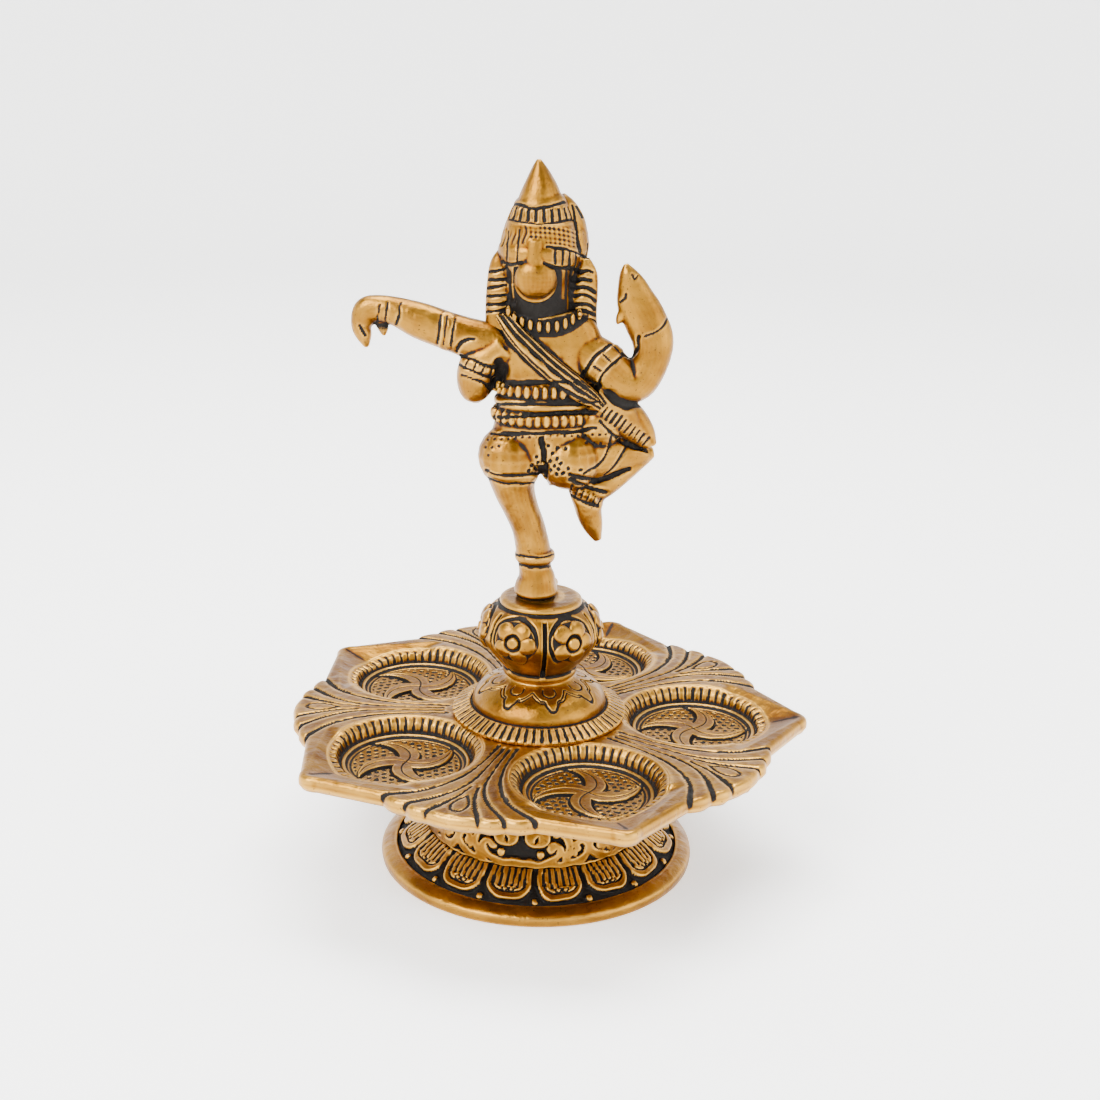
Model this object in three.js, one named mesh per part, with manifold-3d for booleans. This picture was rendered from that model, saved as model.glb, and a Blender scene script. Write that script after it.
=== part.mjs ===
// Five-wick oil lamp: a star-shaped plate with five cups on a lotus foot, and a dancing figure
// on a dome and a bud above it. Millimetres, +Z up, floor at z = 0, spout number one along +X.
// The figure faces +Y.

import * as THREE from 'three';
import { mergeVertices } from 'three/addons/utils/BufferGeometryUtils.js';
import Module from 'manifold-3d';

const wasm = await Module();
wasm.setup();

// Foot
const FOOT_RADIUS = 41;
const FOOT_HEIGHT = 36;
const FOOT_WALL = 2.8;
const FOOT_RIM_HEIGHT = 3.3;
const FOOT_RIM_WIDTH = 4.8;
const FOOT_DECK = 4;
const DRUM_RADIUS = 28;
const DRUM_WALL = 2.4;
const DRUM_FOOT_HEIGHT = 9.6;
const WAIST_RADIUS = 13.6;
const PLATE_SEAT_RADIUS = 18;
const PETAL_COUNT = 16;
const PETAL_RELIEF = 0.9;
const PETAL_GAP = 1.1;

// Plate
const TIP_RADIUS = 70;
const VALLEY_RADIUS = 61;
const LOBE_RADIUS = 64;
const CUP_COUNT = 5;
const PLATE_THICKNESS = 4;
const PLATE_EDGE_ROUND = 1.3;
const CUP_PITCH_RADIUS = 40.3;
const CUP_RIM_RADIUS = 18.2;
const CUP_FLOOR_RADIUS = 15;
const CUP_DEPTH = 4.6;
const CUP_RING_HEIGHT = 1;
const CUP_RING_WIDTH = 1.3;
const CUP_WALL = 3.8;
const SPOUT_DEPTH = 3;
const SPOUT_WIDTH = 20;
const SPOUT_LIP = 1.3;

// Dome collar
const COLLAR_RADIUS = 22.3;
const COLLAR_RING_HEIGHT = 3.3;
const COLLAR_RIB_COUNT = 40;
const COLLAR_RIB_DEPTH = 0.5;
const DOME_RADIUS = 17.6;
const DOME_HEIGHT = 11;
const DOME_NECK_RADIUS = 8.6;

// Lotus bud
const BUD_HEIGHT = 21;
const BUD_RADIUS = 15.8;
const BUD_LIP_RADIUS = 9.4;
const BUD_TOP_RADIUS = 10.4;
const BUD_PANELS = 6;
const BUD_FIRST_LINE = 5;

// Figure
const FIGURE_HEIGHT = 109;
const FIGURE_PARTS = 109;

// Fixing
const ROD_RADIUS = 2;
const ROD_CLEARANCE = 0.3;
const ROD_GRIP = 5.4;
const ROD_TAIL = 1.6;
const NUT_ACROSS_FLATS = 7;
const NUT_HEIGHT = 3.2;
const FLAT_WASHER_RADIUS = 6;
const FLAT_WASHER_THICKNESS = 1;
const SPRING_WASHER_RADIUS = 3.8;
const SPRING_WASHER_THICKNESS = 1;
const SPRING_WASHER_GAP = 16;

// Places that follow from the sizes above
const PLATE_BOTTOM = FOOT_HEIGHT;
const PLATE_TOP = PLATE_BOTTOM + PLATE_THICKNESS;
const COLLAR_TOP = PLATE_TOP + DOME_HEIGHT;
const BUD_TOP = COLLAR_TOP + BUD_HEIGHT;
const DECK_UNDERSIDE = FOOT_HEIGHT - FOOT_DECK;
const BORE_RADIUS = ROD_RADIUS + ROD_CLEARANCE;
const SECTOR = 360 / CUP_COUNT;
const SPAN_OFFSET = (TIP_RADIUS - LOBE_RADIUS) / 2;

const ROUND_SEGMENTS = 32;
const CUP_SEGMENTS = 18;
const BUD_SEGMENTS = 24;
const FASTENER_SEGMENTS = 16;
const BORE_SEGMENTS = 10;

const GOLD = { color: '#b5904c', roughness: 0.34, metalness: 1 };
const STEEL = { color: '#b9bcc0', roughness: 0.35, metalness: 1 };

function radians(degrees) {
  return THREE.MathUtils.degToRad(degrees);
}

function polar(radius, degrees) {
  return new THREE.Vector2(radius, 0).rotateAround(new THREE.Vector2(), radians(degrees));
}

// A closed geometry becomes a solid: shared corners are merged, slivers at a pole are dropped,
// and an outline drawn the other way round is turned so that its faces point out.
function solid(geometry) {
  const bare = geometry.clone();
  bare.deleteAttribute('normal');
  bare.deleteAttribute('uv');
  const merged = mergeVertices(bare, 1e-4);
  const index = merged.index.array;
  const triangles = [];
  for (let i = 0; i < index.length; i += 3) {
    const [a, b, c] = [index[i], index[i + 1], index[i + 2]];
    if (a !== b && b !== c && c !== a) triangles.push(a, b, c);
  }
  const place = merged.attributes.position;
  const corner = (n) => new THREE.Vector3().fromBufferAttribute(place, n);
  let volume = 0;
  for (let i = 0; i < triangles.length; i += 3) {
    const [a, b, c] = triangles.slice(i, i + 3).map(corner);
    volume += a.dot(b.cross(c));
  }
  if (volume < 0) triangles.reverse();
  return new wasm.Manifold(new wasm.Mesh({
    numProp: 3,
    vertProperties: new Float32Array(place.array),
    triVerts: new Uint32Array(triangles),
  }));
}

function joined(solids) {
  return solids.reduce((whole, piece) => whole.add(piece));
}

function piece(name, shape, finish) {
  const made = shape.getMesh();
  const geometry = new THREE.BufferGeometry();
  geometry.setAttribute('position', new THREE.BufferAttribute(made.vertProperties, 3));
  geometry.setIndex(new THREE.BufferAttribute(made.triVerts, 1));
  geometry.computeVertexNormals();
  const mesh = new THREE.Mesh(geometry, new THREE.MeshStandardMaterial(finish));
  mesh.name = name;
  return mesh;
}

// A profile of [radius, height] pairs turned round the vertical axis.
function turned(profile, segments = ROUND_SEGMENTS) {
  const points = profile.map(([radius, height]) => new THREE.Vector2(radius, height));
  return new THREE.LatheGeometry(points, segments).rotateX(Math.PI / 2);
}

// An upright round bar between two heights, used as a cutter and for the rod.
function bar(radius, low, high, segments = BORE_SEGMENTS) {
  return new THREE.CylinderGeometry(radius, radius, high - low, segments)
    .rotateX(Math.PI / 2)
    .translate(0, 0, (low + high) / 2);
}

// Foot: hollow casting with a plain rim, a petalled slope, a drum and a waist.

function slopeStart() {
  return new THREE.Vector2(DRUM_RADIUS + 0.6, DRUM_FOOT_HEIGHT - 0.8);
}

function slopeEnd() {
  return new THREE.Vector2(FOOT_RADIUS - FOOT_RIM_WIDTH - 0.5, FOOT_RIM_HEIGHT + 0.5);
}

function footProfile() {
  const innerRim = FOOT_RADIUS - FOOT_WALL - 0.8;
  const neck = WAIST_RADIUS - FOOT_WALL;
  const drumTop = THREE.MathUtils.lerp(DRUM_FOOT_HEIGHT, FOOT_HEIGHT, 0.3);
  const waistHeight = THREE.MathUtils.lerp(DRUM_FOOT_HEIGHT, FOOT_HEIGHT, 0.76);
  const shoulder = new THREE.QuadraticBezierCurve(
    new THREE.Vector2(DRUM_RADIUS, DRUM_FOOT_HEIGHT + 0.5),
    new THREE.Vector2(DRUM_RADIUS - 0.4, drumTop + 0.6),
    new THREE.Vector2(DRUM_RADIUS - 7, drumTop + 3.4),
  ).getPoints(2);
  const waist = new THREE.SplineCurve([
    new THREE.Vector2(DRUM_RADIUS - 7, drumTop + 3.4),
    new THREE.Vector2(WAIST_RADIUS + 1.2, waistHeight - 3.4),
    new THREE.Vector2(WAIST_RADIUS, waistHeight),
    new THREE.Vector2(PLATE_SEAT_RADIUS - 1.6, FOOT_HEIGHT - 2),
    new THREE.Vector2(PLATE_SEAT_RADIUS, FOOT_HEIGHT - 1),
  ]).getPoints(3).slice(1);
  const start = slopeStart();
  const end = slopeEnd();
  return [
    [innerRim, 0],
    [FOOT_RADIUS - 0.5, 0],
    [FOOT_RADIUS, 0.6],
    [FOOT_RADIUS, FOOT_RIM_HEIGHT - 1],
    [FOOT_RADIUS - 0.8, FOOT_RIM_HEIGHT - 0.1],
    [FOOT_RADIUS - FOOT_RIM_WIDTH, FOOT_RIM_HEIGHT],
    [end.x, end.y],
    [start.x, start.y],
    ...shoulder.map((point) => [point.x, point.y]),
    ...waist.map((point) => [point.x, point.y]),
    [PLATE_SEAT_RADIUS, FOOT_HEIGHT],
    [BORE_RADIUS, FOOT_HEIGHT],
    [BORE_RADIUS, DECK_UNDERSIDE],
    [neck, DECK_UNDERSIDE],
    [neck, waistHeight - 4],
    [DRUM_RADIUS - 7 - DRUM_WALL, drumTop + 1.4],
    [DRUM_RADIUS - DRUM_WALL - 0.6, DRUM_FOOT_HEIGHT - 1],
    [end.x - FOOT_WALL * 0.6, end.y - FOOT_WALL * 0.8],
    [innerRim, 0],
  ];
}

// One lotus petal: a plate with a round outer end, laid on the slope between drum and rim.
function petal() {
  const start = slopeStart();
  const end = slopeEnd();
  const length = start.distanceTo(end);
  const inner = Math.PI * start.x / PETAL_COUNT - PETAL_GAP / 2;
  const outer = Math.PI * end.x / PETAL_COUNT - PETAL_GAP / 2;
  const outline = new THREE.Shape();
  outline.moveTo(-0.6, -inner);
  outline.lineTo(length - outer * 0.8, -outer);
  outline.bezierCurveTo(length * 0.92, -outer, length, -outer * 0.7, length, 0);
  outline.bezierCurveTo(length, outer * 0.7, length * 0.92, outer, length - outer * 0.8, outer);
  outline.lineTo(-0.6, inner);
  const sunk = 0.8;
  return new THREE.ExtrudeGeometry(outline, {
    depth: PETAL_RELIEF + sunk,
    bevelEnabled: false,
    curveSegments: 2,
  })
    .translate(0, 0, -sunk)
    .rotateY(Math.atan2(start.y - end.y, end.x - start.x))
    .translate(start.x, 0, start.y);
}

// Scrolls of the drum: five mirrored units, each half with two leaves along the foot of the drum
// and a tongue that hangs from its shoulder. Places are [along the drum, up from its foot].
const SCROLL_UNITS = 5;
const SCROLL_AXIS = -97.5;
const SCROLL_HALF_WIDTH = 1;
const SCROLLS = [
  [[0, 1.4], [7.6, 1.7], [8.6, 6]],
  [[10.2, 1], [16.2, 2.6], [15, 6.6]],
];
const TONGUE_PLACE = 4.1;
const TONGUE_HALF_WIDTH = 3.7;

function drumScrolls() {
  const turnPerStep = 180 / (Math.PI * DRUM_RADIUS);
  const onDrum = (angle, up, rise) => {
    const shoulder = Math.max(0, up - 4) * 0.28;
    const spot = polar(DRUM_RADIUS + rise - shoulder, angle);
    return [spot.x, spot.y, DRUM_FOOT_HEIGHT + 0.1 + up];
  };
  const raised = [];
  for (let n = 0; n < SCROLL_UNITS; n += 1) {
    for (const side of [-1, 1]) {
      const axis = SCROLL_AXIS + n * 360 / SCROLL_UNITS;
      for (const scroll of SCROLLS) {
        raised.push(loft(scroll.map(([along, up]) => [
          ...onDrum(axis + side * along * turnPerStep, up, 0),
          SCROLL_HALF_WIDTH,
          SCROLL_HALF_WIDTH,
        ]), { sides: 3, steps: 2, facing: 'z' }));
      }
      const angle = axis + side * TONGUE_PLACE * turnPerStep;
      const tongue = new THREE.SphereGeometry(1, 6, 3)
        .rotateX(Math.PI / 2)
        .scale(1.6, TONGUE_HALF_WIDTH, TONGUE_HALF_WIDTH * 1.2)
        .rotateZ(radians(angle))
        .translate(...onDrum(angle, 9.2, -0.1));
      raised.push(solid(tongue));
    }
  }
  return raised;
}

function baseFoot() {
  const petals = drumScrolls();
  for (let n = 0; n < PETAL_COUNT; n += 1) {
    const turn = radians((n + 0.5) * 360 / PETAL_COUNT);
    petals.push(solid(petal().rotateZ(turn)));
  }
  return piece('base_foot', solid(turned(footProfile())).add(joined(petals)), GOLD);
}

// Plate: a star outline with scalloped fans between the spouts.

const FAN_STEPS = [
  [-18, VALLEY_RADIUS],
  [-13, VALLEY_RADIUS + 0.4],
  [-8.4, VALLEY_RADIUS + 1.3],
  [-4, LOBE_RADIUS - 1],
  [4, LOBE_RADIUS - 1],
  [8.4, VALLEY_RADIUS + 1.3],
  [13, VALLEY_RADIUS + 0.4],
  [18, VALLEY_RADIUS],
];
const SCALLOP_RISE = 1;
const TIP_HALF_ANGLE = 1.7;
const TIP_ROUND = 1.5;

function starOutline() {
  const outline = new THREE.Shape();
  for (let n = 0; n < CUP_COUNT; n += 1) {
    const spout = n * SECTOR;
    const before = polar(TIP_RADIUS - TIP_ROUND, spout - TIP_HALF_ANGLE);
    const peak = polar(TIP_RADIUS + TIP_ROUND, spout);
    const after = polar(TIP_RADIUS - TIP_ROUND, spout + TIP_HALF_ANGLE);
    if (n === 0) outline.moveTo(before.x, before.y);
    else outline.lineTo(before.x, before.y);
    outline.quadraticCurveTo(peak.x, peak.y, after.x, after.y);
    const middle = spout + SECTOR / 2;
    const first = polar(FAN_STEPS[0][1], middle + FAN_STEPS[0][0]);
    outline.lineTo(first.x, first.y);
    for (let k = 1; k < FAN_STEPS.length; k += 1) {
      const [angle, radius] = FAN_STEPS[k];
      const [lastAngle, lastRadius] = FAN_STEPS[k - 1];
      const rise = (radius + lastRadius) / 2 + 2 * SCALLOP_RISE;
      const crest = polar(rise, middle + (angle + lastAngle) / 2);
      const foot = polar(radius, middle + angle);
      outline.quadraticCurveTo(crest.x, crest.y, foot.x, foot.y);
    }
  }
  return outline;
}

function starSlab() {
  return new THREE.ExtrudeGeometry(starOutline(), {
    depth: PLATE_THICKNESS - 2 * PLATE_EDGE_ROUND,
    bevelThickness: PLATE_EDGE_ROUND,
    bevelSize: PLATE_EDGE_ROUND * 0.8,
    bevelOffset: -PLATE_EDGE_ROUND * 0.8,
    bevelSegments: 1,
    curveSegments: 2,
  }).translate(0, 0, PLATE_BOTTOM + PLATE_EDGE_ROUND);
}

// The bowl's outside, which bulges below the plate.
function cupBelly() {
  const low = PLATE_TOP - CUP_DEPTH - CUP_WALL;
  return turned([
    [0, low],
    [CUP_FLOOR_RADIUS - 3, low],
    [CUP_FLOOR_RADIUS + 2.2, low + 1],
    [CUP_RIM_RADIUS + 1.6, PLATE_BOTTOM + 0.6],
    [0, PLATE_BOTTOM + 0.6],
  ], CUP_SEGMENTS);
}

// The bowl's inside: a sloping wall, a raised ring and a flat floor.
function cupHollow() {
  const floor = PLATE_TOP - CUP_DEPTH;
  const ringOut = CUP_FLOOR_RADIUS + CUP_RING_WIDTH;
  return turned([
    [0, floor],
    [CUP_FLOOR_RADIUS, floor],
    [CUP_FLOOR_RADIUS + 0.2, floor + CUP_RING_HEIGHT],
    [ringOut, floor + CUP_RING_HEIGHT],
    [CUP_RIM_RADIUS - 0.9, PLATE_TOP - 1.1],
    [CUP_RIM_RADIUS, PLATE_TOP],
    [CUP_RIM_RADIUS, PLATE_TOP + 1],
    [0, PLATE_TOP + 1],
  ], CUP_SEGMENTS);
}

// The spout: a four-sided cone on its edge cuts a V that rises from the bowl to the tip.
function spoutCut() {
  const start = CUP_PITCH_RADIUS + CUP_RIM_RADIUS - 2;
  const end = TIP_RADIUS - SPOUT_LIP;
  const length = end - start;
  return new THREE.ConeGeometry(1, length, 4)
    .rotateZ(-Math.PI / 2)
    .scale(1, SPOUT_DEPTH, SPOUT_WIDTH / 2)
    .rotateX(Math.PI / 2)
    .translate((start + end) / 2, 0, PLATE_TOP + 0.1);
}

// Engraved lines of a fan, on each side of it: [start radius, end radius, end angle from the
// spout]. Each starts where two cups meet and ends in a notch of the edge.
const FAN_LINES = [
  [24, VALLEY_RADIUS + 1.2, SECTOR / 4],
  [34.5, VALLEY_RADIUS + 2.6, SECTOR / 4 + 9.6],
];
const LINE_WIDTH = 0.9;
const LINE_DEPTH = 0.6;
const LINE_STEPS = 3;

function engravedLine([start, end, degrees], side) {
  const near = [];
  const far = [];
  for (let k = 0; k <= LINE_STEPS; k += 1) {
    const share = k / LINE_STEPS;
    const radius = THREE.MathUtils.lerp(start, end, share);
    const turn = SECTOR / 2 - (SECTOR / 2 - degrees) * share ** 1.5;
    const half = (LINE_WIDTH / 2) * (0.4 + 0.6 * share) * 180 / (Math.PI * radius);
    near.push(polar(radius, side * (turn - half)));
    far.unshift(polar(radius, side * (turn + half)));
  }
  return new THREE.ExtrudeGeometry(new THREE.Shape([...near, ...far]), {
    depth: LINE_DEPTH + 1,
    bevelEnabled: false,
    steps: 1,
  }).translate(0, 0, PLATE_TOP - LINE_DEPTH);
}

function fiveCupPlate() {
  const bellies = [];
  const cuts = [solid(bar(BORE_RADIUS, PLATE_BOTTOM - 1, PLATE_TOP + 1))];
  for (let n = 0; n < CUP_COUNT; n += 1) {
    const turn = radians(n * SECTOR);
    bellies.push(solid(cupBelly().translate(CUP_PITCH_RADIUS, 0, 0).rotateZ(turn)));
    cuts.push(solid(cupHollow().translate(CUP_PITCH_RADIUS, 0, 0).rotateZ(turn)));
    cuts.push(solid(spoutCut().rotateZ(turn)));
    for (const line of FAN_LINES) {
      cuts.push(solid(engravedLine(line, 1).rotateZ(turn)));
      cuts.push(solid(engravedLine(line, -1).rotateZ(turn)));
    }
  }
  const cast = solid(starSlab()).add(joined(bellies));
  return piece('five_cup_plate', cast.subtract(joined(cuts)), GOLD);
}

// Dome collar: a ribbed ring and a smooth dome over it.

function ribbedRing() {
  const segments = COLLAR_RIB_COUNT * 2;
  const inside = DOME_RADIUS - 2;
  const ring = turned([
    [inside, PLATE_TOP],
    [COLLAR_RADIUS - 0.4, PLATE_TOP],
    [COLLAR_RADIUS, PLATE_TOP + 1.2],
    [DOME_RADIUS + 0.3, PLATE_TOP + COLLAR_RING_HEIGHT],
    [inside, PLATE_TOP + COLLAR_RING_HEIGHT],
    [inside, PLATE_TOP],
  ], segments);
  const place = ring.attributes.position;
  for (let n = 0; n < place.count; n += 1) {
    const height = place.getZ(n) - PLATE_TOP;
    const radius = Math.hypot(place.getX(n), place.getY(n));
    const turn = Math.atan2(place.getY(n), place.getX(n));
    const valley = Math.round(turn * segments / (2 * Math.PI)) % 2 !== 0;
    if (valley && height > 0.1 && radius > DOME_RADIUS) {
      const cut = (radius - COLLAR_RIB_DEPTH) / radius;
      place.setXYZ(n, place.getX(n) * cut, place.getY(n) * cut, place.getZ(n) - COLLAR_RIB_DEPTH);
    }
  }
  return ring;
}

function domeCollar() {
  const dome = new THREE.SplineCurve([
    new THREE.Vector2(DOME_RADIUS - 0.2, PLATE_TOP + COLLAR_RING_HEIGHT - 0.4),
    new THREE.Vector2(DOME_RADIUS - 0.8, PLATE_TOP + COLLAR_RING_HEIGHT + 1.8),
    new THREE.Vector2((DOME_RADIUS + DOME_NECK_RADIUS) / 2 + 1, COLLAR_TOP - 2.6),
    new THREE.Vector2(DOME_NECK_RADIUS + 0.6, COLLAR_TOP - 0.7),
    new THREE.Vector2(DOME_NECK_RADIUS, COLLAR_TOP - 0.2),
  ]).getPoints(3);
  const cap = turned([
    [BORE_RADIUS, PLATE_TOP],
    [DOME_RADIUS - 1, PLATE_TOP],
    ...dome.map((point) => [point.x, point.y]),
    [DOME_NECK_RADIUS, COLLAR_TOP],
    [BORE_RADIUS, COLLAR_TOP],
    [BORE_RADIUS, PLATE_TOP],
  ]);
  return piece('dome_collar', solid(cap).add(solid(ribbedRing())), GOLD);
}

// Lotus bud: a round knob with a lip at each end, six panels and a flower boss in each.

function budProfile() {
  const belly = new THREE.SplineCurve([
    new THREE.Vector2(BUD_LIP_RADIUS - 0.3, COLLAR_TOP + 1.9),
    new THREE.Vector2(BUD_RADIUS - 2.6, COLLAR_TOP + BUD_HEIGHT * 0.3),
    new THREE.Vector2(BUD_RADIUS, COLLAR_TOP + BUD_HEIGHT * 0.57),
    new THREE.Vector2(BUD_RADIUS - 2.6, COLLAR_TOP + BUD_HEIGHT * 0.8),
    new THREE.Vector2(BUD_TOP_RADIUS - 0.3, BUD_TOP - 1.8),
  ]).getPoints(5);
  return [
    [BORE_RADIUS, COLLAR_TOP],
    [BUD_LIP_RADIUS - 0.6, COLLAR_TOP],
    [BUD_LIP_RADIUS, COLLAR_TOP + 0.6],
    [BUD_LIP_RADIUS - 0.1, COLLAR_TOP + 1.5],
    ...belly.map((point) => [point.x, point.y]),
    [BUD_TOP_RADIUS - 0.6, BUD_TOP - 1.6],
    [BUD_TOP_RADIUS, BUD_TOP - 0.8],
    [BUD_TOP_RADIUS - 0.5, BUD_TOP],
    [BORE_RADIUS, BUD_TOP],
    [BORE_RADIUS, COLLAR_TOP],
  ];
}

function lotusBud() {
  let bud = solid(turned(budProfile(), BUD_SEGMENTS));
  const middle = COLLAR_TOP + BUD_HEIGHT * 0.53;
  for (let n = 0; n < BUD_PANELS; n += 1) {
    const line = radians(BUD_FIRST_LINE - 90 + n * 360 / BUD_PANELS);
    const panel = line + Math.PI / BUD_PANELS;
    const slot = new THREE.BoxGeometry(2.2, 0.9, BUD_HEIGHT * 0.66)
      .translate(BUD_RADIUS + 0.3, 0, middle)
      .rotateZ(line);
    const boss = new THREE.SphereGeometry(1, 8, 3)
      .rotateZ(Math.PI / 2)
      .scale(1.3, 5.2, 5.8)
      .translate(BUD_RADIUS - 1.2, 0, middle)
      .rotateZ(panel);
    const heart = new THREE.SphereGeometry(1, 5, 3)
      .rotateZ(Math.PI / 2)
      .scale(1.7, 1.7, 1.7)
      .translate(BUD_RADIUS - 1.2, 0, middle)
      .rotateZ(panel);
    bud = bud.subtract(solid(slot)).add(solid(boss)).add(solid(heart));
  }
  return piece('lotus_bud', bud, GOLD);
}

// Figure: limbs are lofts along a curve, joined into one casting. As icon makers do, it is drawn
// in equal parts of its height, FIGURE_PARTS from the sole to the crown's tip. Each station of a
// loft is [x, y, z, half width, half depth] in those parts, from the stem's axis and the sole.

function loft(stations, { sides = 7, steps = stations.length + 1, facing = 'y' } = {}) {
  const spine = new THREE.CatmullRomCurve3(stations.map(([x, y, z]) => new THREE.Vector3(x, y, z)));
  const girth = new THREE.CatmullRomCurve3(stations.map((s) => new THREE.Vector3(s[3], s[4], 0)));
  const outward = facing === 'y' ? new THREE.Vector3(0, 1, 0) : new THREE.Vector3(0, 0, 1);
  const tube = new THREE.CylinderGeometry(1, 1, 1, sides, steps);
  const place = tube.attributes.position;
  for (let n = 0; n < place.count; n += 1) {
    const along = 0.5 - place.getY(n);
    const ahead = spine.getTangent(along);
    const side = outward.clone().cross(ahead).normalize();
    const deep = ahead.clone().cross(side);
    const size = girth.getPoint(along);
    const point = spine.getPoint(along)
      .addScaledVector(side, place.getX(n) * size.x)
      .addScaledVector(deep, place.getZ(n) * size.y);
    place.setXYZ(n, point.x, point.y, point.z);
  }
  return solid(tube);
}

function ball(x, y, z, width, depth, height) {
  return solid(new THREE.SphereGeometry(1, 7, 5)
    .rotateX(Math.PI / 2)
    .scale(width, depth, height)
    .translate(x, y, z));
}

// A belt or a string of beads round the body, as a flattened ring that may tilt or sag.
function band(x, y, z, width, depth, thickness, lift = 0) {
  const ring = new THREE.TorusGeometry(1, thickness / width, 3, 10).scale(width, depth, width);
  const place = ring.attributes.position;
  for (let n = 0; n < place.count; n += 1) {
    const rise = lift * (place.getX(n) / width) ** 2;
    place.setZ(n, place.getZ(n) + rise);
  }
  return solid(ring.translate(x, y, z));
}

function standingLeg() {
  const foot = loft([
    [-0.8, -4.9, 2.2, 3.4, 2.2],
    [-0.8, -1, 2.7, 5.5, 2.9],
    [-0.9, 5, 2, 5.2, 2.2],
    [-1, 9.2, 1.2, 3, 1.3],
  ], { facing: 'z', steps: 4 });
  const leg = loft([
    [-0.9, 0, 0, 5.6, 5.4],
    [-1, 0, 3, 5.4, 5.2],
    [-1.4, 0, 7.5, 4.6, 4.8],
    [-2.1, 0, 12, 4.5, 4.8],
    [-3.5, 0, 18, 4.2, 5],
    [-5.5, 0, 23.2, 4.4, 5.3],
    [-7.3, 0, 28.5, 5.3, 6],
    [-7.6, 0, 34, 7, 7],
    [-6.6, 0, 40, 6, 6],
  ], { sides: 8, steps: 6 });
  return [foot, leg];
}

function raisedLeg() {
  const thigh = loft([
    [1, -0.5, 36.5, 7, 6.8],
    [9, 1, 36.6, 7, 6.6],
    [18, 3, 36.6, 5.4, 5.2],
    [25, 4, 36.8, 2.6, 3.2],
    [27.4, 4, 37.2, 1.2, 1.2],
  ], { steps: 4 });
  const shin = loft([
    [25.2, 3.8, 36.6, 2.2, 2.4],
    [20.6, 3, 33.6, 3.1, 3.4],
    [15.4, 1.8, 29.6, 3.4, 3.6],
    [11, 1, 27.2, 3.6, 3.6],
  ], { steps: 3 });
  const foot = loft([
    [9.6, 0.8, 29.6, 3.8, 3.4],
    [11.1, 0.8, 25.8, 4, 3.6],
    [11.5, 0.8, 22.4, 3.3, 3.1],
    [12.6, 1.2, 18.6, 2.6, 2.5],
    [14, 1.6, 14.6, 1, 1],
  ], { sides: 6, steps: 4 });
  return [thigh, shin, foot];
}

function torso() {
  const trunk = loft([
    [-0.6, 0.4, 36, 11, 7],
    [-0.8, 0.6, 42, 12.2, 7.8],
    [-0.6, 0.8, 47.6, 11, 7.8],
    [-0.5, 0.8, 54, 11.3, 7.6],
    [-0.6, 0.4, 60, 12.4, 6.8],
    [-0.4, 0, 65, 14.2, 6],
    [-0.4, 0, 68.5, 12.8, 5.4],
    [-1, 0.2, 72, 8.4, 5],
  ], { sides: 8, steps: 6 });
  return [
    trunk,
    ball(-8.4, -1.2, 37, 8, 7, 8),
    ball(6.2, -1.2, 36.4, 8, 7, 7.6),
    ball(-0.5, 4, 51, 10.6, 7.2, 9),
    band(-0.6, 0.7, 55.1, 11, 7.7, 1.6),
    band(-0.6, 0.8, 48.3, 11.4, 7.9, 1.6),
  ];
}

function leftArms() {
  const reaching = loft([
    [-8, 0, 64, 5.4, 4.8],
    [-15, 0, 65, 5.2, 4.6],
    [-22.5, 0, 67.2, 4.7, 4.3],
    [-30.5, 0.3, 69.9, 4.5, 4],
    [-36, 0.5, 71.9, 3.6, 3.5],
    [-40.4, 0.7, 72.7, 3.2, 3.1],
    [-43.4, 0.8, 71.8, 3.5, 2.9],
    [-44.8, 0.8, 68.6, 2.6, 2.5],
    [-44.2, 0.8, 65.6, 1.9, 1.7],
    [-43.6, 0.8, 63, 0.6, 0.6],
  ], { steps: 8 });
  const thumb = loft([
    [-40.6, 0.8, 71, 1.7, 1.6],
    [-39.6, 0.8, 68, 1.4, 1.3],
    [-39.4, 0.8, 66, 0.5, 0.5],
  ], { sides: 5, steps: 2 });
  const bent = loft([
    [-10, -1, 64.5, 4.6, 4.4],
    [-15.8, -1, 60, 4.8, 4.6],
    [-17.3, -0.4, 55.5, 4.4, 4.3],
    [-17, 0.6, 51.6, 3.1, 3.4],
    [-16.8, 0.8, 49.9, 1, 1.2],
  ], { steps: 5 });
  const forearm = loft([
    [-16.8, 0.4, 53.8, 3.7, 3.4],
    [-14.6, 5.4, 54.6, 3.3, 3],
    [-9.6, 10.4, 56.4, 2.9, 2.5],
    [-6.4, 12.2, 57.6, 1.5, 1.4],
  ], { sides: 6, steps: 2, facing: 'z' });
  return [reaching, thumb, bent, forearm];
}

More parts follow.
